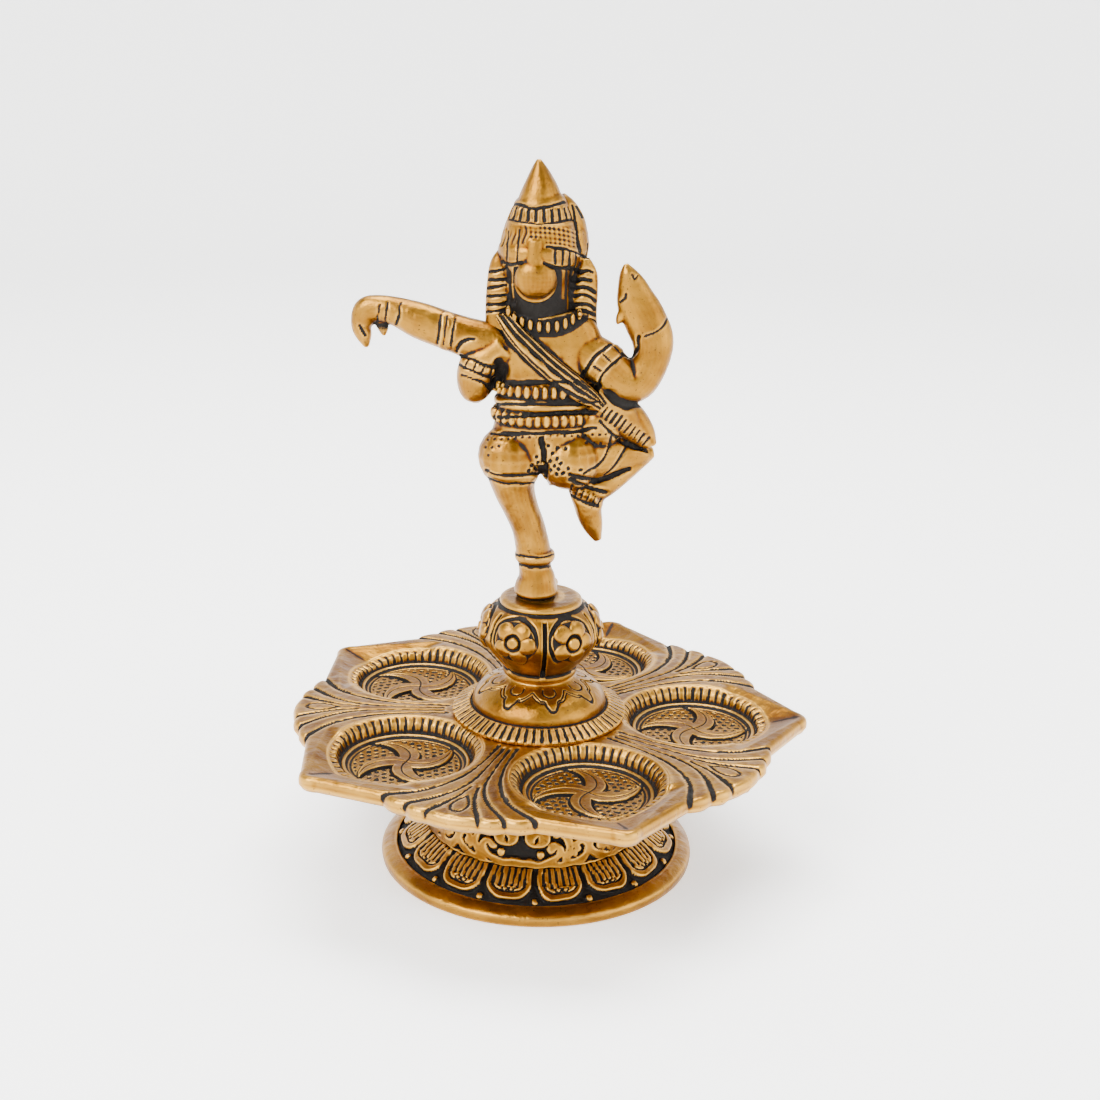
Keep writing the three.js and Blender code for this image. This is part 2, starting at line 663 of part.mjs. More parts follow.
function rightArms() {
  const raised = loft([
    [7, 0, 64, 5.4, 4.8],
    [13, -0.4, 60.6, 6, 4.8],
    [18.2, 0, 56.4, 5.6, 4.8],
    [22.4, 0.4, 56.2, 4.9, 4.6],
    [25.4, 0.5, 61.2, 4.6, 4.2],
    [25.8, 0.5, 66.4, 5.1, 4],
    [23.8, 0.4, 71.2, 5.2, 3.5],
    [21.6, 0.3, 75.4, 4.9, 3],
    [20.3, 0.3, 79.4, 3.7, 2.5],
    [19.2, 0.2, 82.6, 2.2, 1.8],
    [18.6, 0.2, 84.8, 0.6, 0.6],
  ], { steps: 9 });
  const thumb = loft([
    [19.6, 0, 74, 2, 1.6],
    [17.8, -0.2, 71.8, 1.3, 1.1],
    [17, -0.2, 70.2, 0.4, 0.4],
  ], { sides: 5, steps: 2 });
  const forearm = loft([
    [12.6, 1.4, 58.6, 3.8, 3.4],
    [12.2, 7.4, 57.6, 3.2, 2.8],
    [9.4, 11.8, 60.4, 2.6, 2.3],
    [8, 12.6, 64.4, 1.4, 1.2],
  ], { sides: 6, steps: 2, facing: 'z' });
  return [raised, thumb, forearm];
}

function head() {
  const neck = loft([
    [-1.5, 0.4, 66, 6.6, 5.4],
    [-1.7, 0.5, 72, 6.8, 5.6],
    [-2, 0.6, 77, 7.6, 6.6],
    [-2.1, 0.6, 81.6, 8.6, 7.6],
  ], { steps: 3 });
  const cap = loft([
    [-2, 0.5, 80, 8, 7.2],
    [-2, 0.6, 83.4, 9, 8],
    [-2, 0.6, 87, 9.6, 8.4],
    [-2, 0.6, 90, 9.3, 8],
    [-2, 0.4, 93.4, 8.4, 7.2],
    [-2, 0.2, 97, 7.1, 6.2],
    [-2.1, 0, 99.8, 5.8, 5.2],
  ], { sides: 8, steps: 5 });
  const cone = loft([
    [-2.2, 0, 98.8, 5.5, 5.1],
    [-2.3, 0, 102, 4.4, 4.2],
    [-2.4, 0, 105.2, 2.8, 2.8],
    [-2.5, 0, 107.6, 1.5, 1.5],
    [-2.6, 0, 109, 0.5, 0.5],
  ], { steps: 4 });
  const nose = loft([
    [-1.3, 6, 81, 4.4, 4.2],
    [-1.4, 9.4, 76.4, 3.7, 3.5],
    [-0.6, 11.4, 70.4, 2.9, 2.9],
    [2.6, 11.8, 65.2, 2.4, 2.3],
    [6.6, 11.4, 63.4, 1.7, 1.7],
    [8.8, 11, 65.4, 0.9, 0.9],
  ], { sides: 6, steps: 5 });
  const tusk = (side) => loft([
    [-1.4 + side * 3.4, 8, 76.4, 1.2, 1.2],
    [-1.4 + side * 4.6, 10.4, 74.8, 0.9, 0.9],
    [-1.4 + side * 5, 12, 74.6, 0.4, 0.4],
  ], { sides: 4, steps: 2, facing: 'z' });
  const leftEar = loft([
    [-10.4, 0.4, 66.5, 4.4, 2.2],
    [-11.6, 0.6, 72, 3.4, 2.2],
    [-11.6, 0.6, 78, 3.2, 2],
    [-11.4, 0.6, 84, 2.5, 1.8],
    [-10.6, 0.6, 87.8, 1, 1],
  ], { sides: 6, steps: 4 });
  const rightEar = loft([
    [8.2, 0.4, 66.5, 4.6, 2.2],
    [9, 0.6, 72, 3.2, 2.2],
    [9.2, 0.6, 78, 3.1, 2],
    [9.4, 0.6, 82.4, 2.6, 1.8],
    [9, 0.6, 86, 1, 1],
  ], { sides: 6, steps: 4 });
  return [
    neck,
    cap,
    cone,
    nose,
    tusk(1),
    tusk(-1),
    leftEar,
    rightEar,
    ball(1.6, 3.2, 88.6, 8.3, 6.2, 10.2),
    ball(-2.8, -5.9, 82.1, 5.1, 3.5, 4.9),
    band(-2, 0.1, 98.1, 6.3, 5.6, 1.1),
    band(-2, 0.6, 87.6, 9.4, 8, 1.1),
    band(-1, 0.2, 70.3, 8.8, 6, 1.1, 3.2),
  ];
}

function sash() {
  const strap = loft([
    [-10.6, -3.6, 72.2, 2.2, 1.3],
    [-5, -6.4, 66.5, 2.6, 1.3],
    [1.2, -7.2, 61, 2.9, 1.4],
    [7.6, -6.7, 55.9, 2.9, 1.4],
    [13.6, -4.4, 51, 1.4, 1.5],
  ], { sides: 4, steps: 4 });
  const pleats = loft([
    [11.6, -3.6, 52.6, 3.4, 2.4],
    [17.4, -1.6, 49.8, 5.2, 3],
    [21, 0, 45, 3.6, 3],
    [26, 2, 39.8, 1.6, 1.8],
  ], { sides: 6, steps: 3 });
  return [strap, pleats];
}

function dancingFigure() {
  const grow = FIGURE_HEIGHT / FIGURE_PARTS;
  const parts = [
    ...standingLeg(), ...raisedLeg(), ...torso(), ...leftArms(), ...rightArms(), ...head(), ...sash(),
  ];
  const below = solid(new THREE.BoxGeometry(60, 60, 20).translate(0, 0, -10));
  const body = joined(parts).subtract(below).scale(grow).translate(0, 0, BUD_TOP);
  const socket = solid(bar(BORE_RADIUS, BUD_TOP - 1, BUD_TOP + ROD_GRIP + ROD_CLEARANCE));
  return piece('dancing_figure', body.subtract(socket), GOLD);
}

// Fixing: a stud held by a nut and two washers under the foot's deck.

const FLAT_WASHER_LOW = DECK_UNDERSIDE - FLAT_WASHER_THICKNESS;
const SPRING_WASHER_LOW = FLAT_WASHER_LOW - SPRING_WASHER_THICKNESS;
const NUT_LOW = SPRING_WASHER_LOW - NUT_HEIGHT;

function ringSolid(radius, low, high) {
  return solid(turned([
    [BORE_RADIUS, low],
    [radius, low],
    [radius, high],
    [BORE_RADIUS, high],
    [BORE_RADIUS, low],
  ], FASTENER_SEGMENTS));
}

function tieRod() {
  const rod = bar(ROD_RADIUS, NUT_LOW - ROD_TAIL, BUD_TOP + ROD_GRIP);
  return piece('tie_rod', solid(rod), STEEL);
}

function flatWasher() {
  return piece('flat_washer', ringSolid(FLAT_WASHER_RADIUS, FLAT_WASHER_LOW, DECK_UNDERSIDE), STEEL);
}

function springWasher() {
  const ring = ringSolid(SPRING_WASHER_RADIUS, SPRING_WASHER_LOW, FLAT_WASHER_LOW);
  const gap = 2 * SPRING_WASHER_RADIUS * Math.sin(radians(SPRING_WASHER_GAP / 2));
  const split = new THREE.BoxGeometry(SPRING_WASHER_RADIUS * 2, gap, SPRING_WASHER_THICKNESS * 3)
    .translate(SPRING_WASHER_RADIUS, 0, SPRING_WASHER_LOW);
  return piece('spring_washer', ring.subtract(solid(split)), STEEL);
}

function hexNut() {
  const corner = NUT_ACROSS_FLATS / 2 / Math.cos(Math.PI / 6);
  const hexagon = solid(bar(corner, NUT_LOW, SPRING_WASHER_LOW, 6));
  const round = solid(turned([
    [0, NUT_LOW],
    [corner - 0.7, NUT_LOW],
    [corner + 0.05, NUT_LOW + 0.5],
    [corner + 0.05, SPRING_WASHER_LOW - 0.5],
    [corner - 0.7, SPRING_WASHER_LOW],
    [0, SPRING_WASHER_LOW],
  ], 12));
  const hole = solid(bar(BORE_RADIUS, NUT_LOW - 1, SPRING_WASHER_LOW + 1));
  return piece('hex_nut', hexagon.intersect(round).subtract(hole), STEEL);
}

const lamp = new THREE.Group();
lamp.add(baseFoot(), fiveCupPlate(), domeCollar(), lotusBud(), dancingFigure());
lamp.add(tieRod(), flatWasher(), springWasher(), hexNut());
lamp.position.x = -SPAN_OFFSET;

export default lamp;
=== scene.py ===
# %% [markdown]
# # Five-wick oil lamp with a dancing figure
# The lamp is a stack of five castings on one threaded stud: a lotus foot, a star plate with five
# cups, a ribbed dome, a carved bud and a figure seen from behind. All five have the same antique
# gold finish: a thin gold lacquer on cast metal, black paint rubbed into every hollow, and the
# high places polished bright again.
#
# This lesson rebuilds each casting in millimetres round the stem's axis, carves it by moving
# vertices, works out where the black paint would stay, and lets the material read that.

# %% Load the frame
import math

import bmesh
import bpy
import numpy as np
from mathutils import Matrix, Vector


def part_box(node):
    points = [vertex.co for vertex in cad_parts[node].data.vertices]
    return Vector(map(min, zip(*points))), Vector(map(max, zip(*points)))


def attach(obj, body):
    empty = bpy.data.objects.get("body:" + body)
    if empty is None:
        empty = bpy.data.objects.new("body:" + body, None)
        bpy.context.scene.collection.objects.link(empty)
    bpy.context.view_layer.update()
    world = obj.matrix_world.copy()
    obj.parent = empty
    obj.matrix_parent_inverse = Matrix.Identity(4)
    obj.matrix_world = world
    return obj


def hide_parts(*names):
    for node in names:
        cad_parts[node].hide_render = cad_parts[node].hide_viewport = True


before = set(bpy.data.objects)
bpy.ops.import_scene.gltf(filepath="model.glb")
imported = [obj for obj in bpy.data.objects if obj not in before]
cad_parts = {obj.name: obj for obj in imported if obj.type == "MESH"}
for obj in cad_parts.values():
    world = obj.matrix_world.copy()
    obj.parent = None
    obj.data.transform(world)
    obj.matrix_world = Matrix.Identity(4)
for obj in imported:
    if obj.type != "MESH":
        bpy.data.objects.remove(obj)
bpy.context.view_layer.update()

print("nodes:", sorted(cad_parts))

# %% [markdown]
# ## Sizes taken from the frame
# Every casting stands where the frame's solid stands, so the main heights are read from the
# solids' boxes. The stem's axis is the middle of the stud.

# %% Main heights, in millimetres
MM = 0.001
TURN = 2 * math.pi


def box_mm(node):
    low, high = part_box(node)
    return np.array(low) / MM, np.array(high) / MM


stud_low, stud_high = box_mm("tie_rod")
STEM_X = (stud_low[0] + stud_high[0]) / 2
FOOT_TOP = box_mm("base_foot")[1][2]
PLATE_TOP = box_mm("five_cup_plate")[1][2]
COLLAR_TOP = box_mm("dome_collar")[1][2]
BUD_TOP = box_mm("lotus_bud")[1][2]
BORE = 2.3
print(f"stem x {STEM_X:.2f}, tops: foot {FOOT_TOP:.1f}, plate {PLATE_TOP:.1f},",
      f"collar {COLLAR_TOP:.1f}, bud {BUD_TOP:.1f}")

# %% [markdown]
# ## Reading, writing and finishing a mesh
# A carved casting has tens of thousands of vertices, so they are moved with arrays: one call reads
# all the places, one writes them back. A finished piece sits at the origin with its place in its
# mesh, rides on the lamp's one body and stands for the plain solid of its node.

# %% Array helpers
def triples(items, name):
    flat = np.empty(len(items) * 3)
    items.foreach_get(name, flat)
    return flat.reshape(-1, 3)


def places(mesh):
    return triples(mesh.vertices, "co")


def put(mesh, points):
    mesh.vertices.foreach_set("co", np.ascontiguousarray(points).ravel())
    mesh.update()


def outward(mesh):
    return triples(mesh.vertex_normals, "vector")


def mesh_of(bm, name):
    """The shape as a mesh; the bmesh is given back."""
    mesh = bpy.data.meshes.new(name)
    bm.to_mesh(mesh)
    bm.free()
    return mesh


def keep_values(mesh, name, numbers):
    kept = mesh.attributes.new(name, "FLOAT", "POINT")
    kept.data.foreach_set("value", np.asarray(numbers, dtype=np.float32))


# %% Small shapes of numbers
def smooth(low, high, x):
    t = np.clip((x - low) / (high - low), 0, 1)
    return t * t * (3 - 2 * t)


def near(value, inner, outer):
    """1 where a value is within inner of zero, and softly down to 0 at outer."""
    return smooth(outer, inner, np.abs(value))


def within(value, rising, falling):
    """1 between two soft borders."""
    return smooth(*rising, value) * smooth(*falling, value)


def groove(gap, width):
    """A round-bottomed cut: 1 in its middle, fading out over its width."""
    return np.exp(-(gap / width) ** 2)


def flat_reach(points):
    return np.hypot(points[:, 0], points[:, 1])


def flat_angle(points):
    return np.arctan2(points[:, 1], points[:, 0])


def from_stem(radius, angle):
    """Flat places at a distance from the stem in a direction."""
    return np.column_stack([radius * np.cos(angle), radius * np.sin(angle)])


def through(points, count):
    """A soft curve through a few points, as count places."""
    p = np.asarray(points, dtype=float)
    t = np.linspace(0, len(p) - 1, count)
    k = np.minimum(t.astype(int), len(p) - 2)
    f = (t - k)[:, None]
    ends = np.vstack([2 * p[0] - p[1], p, 2 * p[-1] - p[-2]])
    a, b, c, d = ends[k], ends[k + 1], ends[k + 2], ends[k + 3]
    return b + 0.5 * f * (c - a + f * (2 * a - 5 * b + 4 * c - d + f * (3 * (b - c) + d - a)))


def stroke(path):
    """A drawn line: straight through two places, a soft curve through more."""
    return through(path, 4 * len(path)) if len(path) > 2 else np.array(path, dtype=float)


def distance_to(points, chain):
    """Distance from each flat point to a chain of short straight lines."""
    best = np.full(len(points), np.inf)
    for a, b in zip(chain, chain[1:]):
        along = b - a
        t = np.clip(((points - a) @ along) / max(along @ along, 1e-9), 0, 1)
        best = np.minimum(best, flat_reach(points - a - t[:, None] * along))
    return best


def waver(points, size, seed):
    """Smooth wandering numbers from -1 to 1 over a surface, with waves of about that size."""
    source = np.random.default_rng(seed)
    total = np.zeros(len(points))
    for _ in range(9):
        way = source.normal(size=points.shape[1])
        way *= TURN / (size * source.uniform(0.7, 1.5) * np.linalg.norm(way))
        total += np.sin(points @ way + source.uniform(0, 6.28))
    return total / 4.5


# %% [markdown]
# ## Where the black paint stays
# The maker brushes black over the whole casting and wipes it off. It stays where a rag doesn't
# reach: below the level of the metal round it. So each vertex is compared with the average of its
# neighbours, near ones for fine lines and farther ones for wide hollows. The result is kept in the
# mesh as one number, `patina_and_shade`: 0 is polished gold and 1 is black.
# A few marks also put painted shade into that number: under the plate, below the bud, along the
# spouts' valleys and round the necklace.

# %% Hollows
def averaged(mesh, field, rounds):
    ends = np.empty(len(mesh.edges) * 2, dtype=np.int64)
    mesh.edges.foreach_get("vertices", ends)
    a, b = ends[0::2], ends[1::2]
    count = len(mesh.vertices)
    share = np.bincount(a, minlength=count) + np.bincount(b, minlength=count)
    share = np.maximum(share, 1)
    for _ in range(rounds):
        sums = np.empty_like(field)
        for k in range(field.shape[1]):
            sums[:, k] = np.bincount(a, field[b, k], count) + np.bincount(b, field[a, k], count)
        field = 0.5 * field + 0.5 * sums / share[:, None]
    return field


def hollows(mesh, rounds):
    p = places(mesh)
    return ((averaged(mesh, p, rounds) - p) * outward(mesh)).sum(axis=1)


# Rounds of averaging for fine lines and for wide hollows, and how much paint each millimetre
# of depth holds. What stands proud in the fine comparison was rubbed bright.
NEAR, FAR = 5, 40
NEAR_PAINT, FAR_PAINT, CLOUD_PAINT = 5.5, 1.4, 0.09
RUBBING = -9


def finished_piece(name, node, mesh, paint):
    """Millimetres round the stem become metres in the frame, and the piece joins the lamp."""
    fine = hollows(mesh, NEAR)
    wide = hollows(mesh, FAR)
    clouds = waver(places(mesh), 13, 71)
    patina_and_shade = np.clip(paint + NEAR_PAINT * fine + FAR_PAINT * wide + CLOUD_PAINT * clouds, 0, 1)
    keep_values(mesh, "patina_and_shade", patina_and_shade)
    keep_values(mesh, "rubbed", np.clip(RUBBING * fine, 0, 1))
    put(mesh, (places(mesh) + [STEM_X, 0, 0]) * MM)
    mesh.shade_smooth()
    piece = bpy.data.objects.new(name, mesh)
    bpy.context.scene.collection.objects.link(piece)
    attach(piece, "root")
    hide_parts(node)
    mesh.materials.append(bpy.data.materials[GOLD_NAME])
    print(f"{name}: {len(mesh.vertices)} vertices, mean patina {patina_and_shade.mean():.2f}")


def pressed_piece(name, node, mesh, carving, rise=0.0):
    """Moves each vertex along its normal by its relief in millimetres, then finishes the piece."""
    relief, paint = carving
    put(mesh, places(mesh) + outward(mesh) * relief[:, None])
    mesh.transform(Matrix.Translation((0, 0, rise)))
    finished_piece(name, node, mesh, paint)


# %% [markdown]
# ## The finish
# The real finish is a gold lacquer over a polished light-metal casting, with black antique paint
# left in the hollows. Lacquered metal gives a broad, soft highlight, so its roughness is about a
# third, and the paint is dull and not metallic. Colours are written as the eye sees them on a
# screen and turned to linear by one function.

# %% Colours and one node helper
GOLD_NAME = "gold_lacquer_antique_casting"


def linear(colour):
    parts = [int(colour[k:k + 2], 16) / 255 for k in (1, 3, 5)]
    return [c / 12.92 if c <= 0.04045 else ((c + 0.055) / 1.055) ** 2.4 for c in parts] + [1.0]


def add(tree, kind, values):
    """Adds one node. A value sets a property or a socket, and a socket as value is linked."""
    node = tree.nodes.new(kind)
    for key, value in values.items():
        if isinstance(value, bpy.types.NodeSocket):
            tree.links.new(value, node.inputs[key])
        elif isinstance(key, int) or key in node.inputs:
            node.inputs[key].default_value = linear(value) if isinstance(value, str) else value
        else:
            setattr(node, key, value)
    return node


def fresh_material(name):
    """An empty material: itself, its node tree and the object's own coordinates."""
    material = bpy.data.materials.new(name)
    material.use_nodes = True
    material.node_tree.nodes.clear()
    where = add(material.node_tree, "ShaderNodeTexCoord", {}).outputs["Object"]
    return material, material.node_tree, where


def noise(tree, where, size, detail):
    """A cloudy pattern whose patches are about size millimetres wide."""
    values = {"Scale": 1 / (size * MM), "Detail": detail, "Vector": where}
    return add(tree, "ShaderNodeTexNoise", values).outputs["Fac"]


def attribute(tree, name):
    return add(tree, "ShaderNodeAttribute", {"attribute_name": name}).outputs["Fac"]


def scaled_sum(tree, source, factor, rest):
    """source times factor, plus rest."""
    values = {"operation": "MULTIPLY_ADD", 0: source, 1: factor, 2: rest}
    return add(tree, "ShaderNodeMath", values).outputs[0]


def mixed(tree, share, first, second, blend="MIX"):
    """Goes from the first colour to the second."""
    values = {"data_type": "RGBA", "blend_type": blend, 0: share, 6: first, 7: second}
    return add(tree, "ShaderNodeMix", values).outputs[2]


def bumped(tree, height, strength, depth, **below):
    """Normals tilted as by a relief of that depth in millimetres, on those below it."""
    values = {"Strength": strength, "Distance": depth * MM, "Height": height}
    return add(tree, "ShaderNodeBump", values | below).outputs[0]


def surface(tree, values):
    shader = add(tree, "ShaderNodeBsdfPrincipled", values)
    add(tree, "ShaderNodeOutputMaterial", {"Surface": shader.outputs[0]})


def ramp_of(tree, source, stops):
    """Colours or grey levels at places from 0 to 1."""
    node = add(tree, "ShaderNodeValToRGB", {"Fac": source})
    bar = node.color_ramp.elements
    while len(bar) < len(stops):
        bar.new(0.5)
    for element, (place, colour) in zip(bar, stops):
        element.position = place
        element.color = linear(colour) if isinstance(colour, str) else [colour] * 3 + [1]
    return node.outputs["Color"]


# %% Antique gold
def antique_gold():
    _, tree, where = fresh_material(GOLD_NAME)
    patina_and_shade = attribute(tree, "patina_and_shade")
    # The paint's edge is ragged: a wander of 1.2 mm and a grain of 0.25 mm move it about.
    moved = scaled_sum(tree, noise(tree, where, 1.2, 3.0), 0.6, patina_and_shade)
    ragged = scaled_sum(tree, noise(tree, where, 0.25, 2.0), 0.42, moved)
    black = ramp_of(tree, ragged, [(0.66, 0.0), (0.9, 1.0)])
    # Casting pits: small dark specks about 0.5 mm wide, sparse.
    pits = ramp_of(tree, noise(tree, where, 0.55, 1.0), [(0.68, 0.0), (0.76, 0.8)])
    dark = add(tree, "ShaderNodeMath", {"operation": "MAXIMUM", 0: black, 1: pits}).outputs[0]
    # The lacquer runs from brown to amber over about 9 mm, and old paint stains it near the black.
    lacquer = ramp_of(tree, noise(tree, where, 9, 2.0), [(0.38, "#6a420a"), (0.62, "#8a6018")])
    stain = ramp_of(tree, patina_and_shade, [(0.0, "#ffffff"), (0.3, "#b3823c"), (0.75, "#553512")])
    toned = mixed(tree, 1.0, lacquer, stain, "MULTIPLY")
    # Where a rag polished the ridges, the lacquer is thin and pale.
    bright = mixed(tree, attribute(tree, "rubbed"), toned, "#b98a38")
    colour = mixed(tree, dark, bright, "#0d0906")
    # The cast skin: a fine grain, over shallow dents about 3 mm wide that break up the shine.
    dents = bumped(tree, noise(tree, where, 3, 2.0), 0.65, 0.5)
    skin = bumped(tree, noise(tree, where, 0.5, 4.0), 0.6, 0.09, Normal=dents)
    # Black paint isn't metal, and it is duller than the lacquer.
    metal = scaled_sum(tree, dark, -0.9, 1.0)
    dull = add(tree, "ShaderNodeMapRange", {"To Min": 0.34, "To Max": 0.62, 0: dark}).outputs[0]
    surface(tree, {"Specular IOR Level": 0.15, "Base Color": colour, "Metallic": metal,
                   "Roughness": dull, "Normal": skin})


antique_gold()
print("finish:", GOLD_NAME)

# %% [markdown]
# ## Surfaces from a flat grid, and turned surfaces
# The plate isn't round, so each stretch of it starts as a flat grid that a rule bends into place.
# The foot, dome and bud are round, so a profile is spun round the stem, and every vertex knows
# its radius, angle and height.

# %% Bent grids and spun profiles
def bent_grid(columns, rows, rule):
    """A grid whose vertices go where rule(column numbers, row numbers) says."""
    bm = bmesh.new()
    bmesh.ops.create_grid(bm, x_segments=columns, y_segments=rows, size=0.5)
    mesh = mesh_of(bm, "grid")
    flat = places(mesh)
    column = np.rint((flat[:, 0] + 0.5) * columns).astype(int)
    row = np.rint((flat[:, 1] + 0.5) * rows).astype(int)
    put(mesh, rule(column, row))
    return mesh


def joined(name, meshes, gap=0.004):
    """The parts of a casting become one skin: equal corners are merged and faces turned outward."""
    bm = bmesh.new()
    for mesh in meshes:
        bm.from_mesh(mesh)
        bpy.data.meshes.remove(mesh)
    bmesh.ops.remove_doubles(bm, verts=bm.verts, dist=gap)
    bmesh.ops.recalc_face_normals(bm, faces=bm.faces)
    return mesh_of(bm, name)


def turned_copies(mesh, count):
    """The mesh and its copies round the stem."""
    copies = [mesh]
    for n in range(1, count):
        other = mesh.copy()
        other.transform(Matrix.Rotation(n * TURN / count, 4, "Z"))
        copies.append(other)
    return copies


def spaced(points, step):
    """Places about one step apart along a chain of points."""
    p = np.asarray(points, dtype=float)
    reach = np.concatenate([[0], np.cumsum(np.hypot(*np.diff(p, axis=0).T))])
    count = max(2, int(round(reach[-1] / step)) + 1)
    at = np.linspace(0, reach[-1], count)
    return np.column_stack([np.interp(at, reach, p[:, 0]), np.interp(at, reach, p[:, 1])])


def above(level, points):
    return [(radius, level + height) for radius, height in points]


def spun(name, profile, steps):
    """A closed profile of radius and height spun a full turn."""
    bm = bmesh.new()
    ring = [bm.verts.new((radius, 0, height)) for radius, height in np.vstack(profile)]
    edges = [bm.edges.new(pair) for pair in zip(ring, ring[1:] + ring[:1])]
    bmesh.ops.spin(bm, geom=ring + edges, angle=TURN, steps=steps,
                   axis=(0, 0, 1), cent=(0, 0, 0), use_merge=True)
    bmesh.ops.recalc_face_normals(bm, faces=bm.faces)
    return mesh_of(bm, name)


def round_coordinates(points):
    return flat_reach(points), flat_angle(points), points[:, 2]


def folded(angle, count, start=0.0):
    """How far an angle lies from the nearest of count evenly turned directions, in radians."""
    step = TURN / count
    return (angle - start + step / 2) % step - step / 2


# %% [markdown]
# ## The star plate
# The plate repeats five times. One sector is drawn round its cup: straight columns run from the
# cup's rim to the sector's border, so the grid follows the engraved lines that hug the cup and
# then fan out to the scallops. The bowls are finer grids of their own, because their ribs and
# stippled floors are small.

# %% Outline of the plate
CUPS = 5
CUP_PITCH = 40.3
CUP_DEPTH = 4.6
BOWL_EDGE = 19.3
TIP_RADIUS = box_mm("five_cup_plate")[1][0] - STEM_X - 0.25
TIP_TURN = 2.9
TIP_SIDE = TIP_RADIUS - 1.8
NOTCH_AT = [18.0, 24.5, 30.0, 42.0]
NOTCH_RADIUS = [61.0, 61.7, 62.8, 62.8]
SCALLOP_RISE = 0.9
EDGE_ROUND = 1.4
HALF_SECTOR = math.pi / CUPS


def on_circle(radius, degrees):
    angle = math.radians(degrees)
    return np.array([radius * math.cos(angle), radius * math.sin(angle)])


def edge_radius(angle):
    """How far the plate's edge lies from the stem in a direction."""
    degrees = np.degrees(np.abs(folded(angle, CUPS)))
    a, b = on_circle(TIP_SIDE, TIP_TURN), on_circle(NOTCH_RADIUS[0], NOTCH_AT[0])
    across = np.array([b[1] - a[1], a[0] - b[0]])
    across /= np.hypot(*across)
    straight = (a @ across) / np.cos(np.radians(degrees) - math.atan2(across[1], across[0]))
    tip = TIP_RADIUS - (TIP_RADIUS - TIP_SIDE) * (degrees / TIP_TURN) ** 2
    fan = np.interp(degrees, NOTCH_AT, NOTCH_RADIUS)
    for low, high in zip(NOTCH_AT, NOTCH_AT[1:]):
        scallop = SCALLOP_RISE * np.sin(math.pi * (degrees - low) / (high - low))
        fan = fan + np.where((degrees >= low) & (degrees < high), scallop, 0)
    radius = np.where(degrees < TIP_TURN, tip, straight)
    return np.where(degrees < NOTCH_AT[0], radius, fan)


print(f"plate: tip {TIP_RADIUS:.1f} mm, lobe {edge_radius(np.array([HALF_SECTOR]))[0]:.1f} mm")

# %% [markdown]
# The engraved lines of one half sector are drawn as a few places each: distance from the stem and
# degrees from the spout. The other half mirrors them. Each line starts where two cups meet, near
# the dome, and ends in a notch of the edge.

# %% Engraved lines of the plate
FAN_LINES = [
    ([(24, 30.2), (35, 30.9), (45, 28.9), (54, 24.4), (61.2, 18)], 0.40),
    ([(25, 34.2), (36, 34.3), (46, 33.4), (54, 30.0), (61.9, 24.5)], 0.36),
    ([(47, 34.9), (54, 33.4), (62.9, 30.0)], 0.34),
]
LOOP = [(52.0, 36.0), (54.0, 34.8), (57.0, 34.0), (59.5, 34.7), (60.3, 36.0)]


def drawn(stations, count):
    return through([on_circle(radius, degrees) for radius, degrees in stations], count)


LOOP_LINE = drawn(LOOP, 16)


def engraving(points):
    """Depth in millimetres and paint of the plate's lines."""
    half = np.column_stack([points[:, 0], np.abs(points[:, 1])])
    depth = np.zeros(len(points))
    paint = np.zeros(len(points))
    sway = (1 + 0.35 * waver(points, 17, 5)) * (0.8 + 0.85 * smooth(48, 61, flat_reach(points)))
    shake = 0.10 * waver(points, 2.2, 6)
    for stations, width in FAN_LINES:
        gap = np.abs(distance_to(half, drawn(stations, 24)) + shake)
        depth += 0.62 * groove(gap, width * sway)
        paint = np.maximum(paint, smooth(1.75, 0.7, gap / (width * sway)))
    gap = distance_to(half, LOOP_LINE)
    depth += 0.4 * groove(gap, 0.26)
    paint = np.maximum(paint, smooth(0.45, 0.2, gap))
    return depth, paint


# %% [markdown]
# A bowl has a flat floor with a carved whirl of four leaves on punched ground, a raised ring, a
# wall of short ribs and a smooth rim. The spout is a shallow V that starts inside the ring and
# rises to the tip. The photo shows only parts of the floors' carving, so the whirl is a plain
# traditional one.

# %% Height of the plate's upper face
RIBS = 52
BOWL_SHAPE = [
    (0, 0), (14.5, 0), (14.8, 0.05), (15.1, 0.85), (15.7, 0.95), (16.0, 0.6), (16.4, 0.75),
    (17.3, 3.2), (18.2, 4.15), (18.8, 4.47), (19.2, CUP_DEPTH),
]
RIBBED_WALL = (16.1, 16.5), (18.9, 18.2)
RIBBED_BELLY = (16.4, 17.2), (20.2, 19.7)
RING_INSIDE, RING_OUTSIDE = 14.75, 16.05
SPOUT_START = CUP_PITCH + 16.6
SPOUT_END = 68.5
SPOUT_DEPTH = 2.9
SPOUT_SLOPE = 0.22
LEAVES = 4
LEAF_REACH = 13.8
FLOOR_LINE = 13.7
PUNCH_PITCH = 2.1
PUNCH_ROWS = 0.87


def punched(points):
    """Distance to the nearest punch mark of a staggered pattern."""
    rows = np.rint(points[:, 1] / (PUNCH_PITCH * PUNCH_ROWS))
    x = points[:, 0] / PUNCH_PITCH - 0.5 * (rows % 2)
    return np.hypot((x - np.rint(x)) * PUNCH_PITCH, points[:, 1] - rows * PUNCH_PITCH * PUNCH_ROWS)


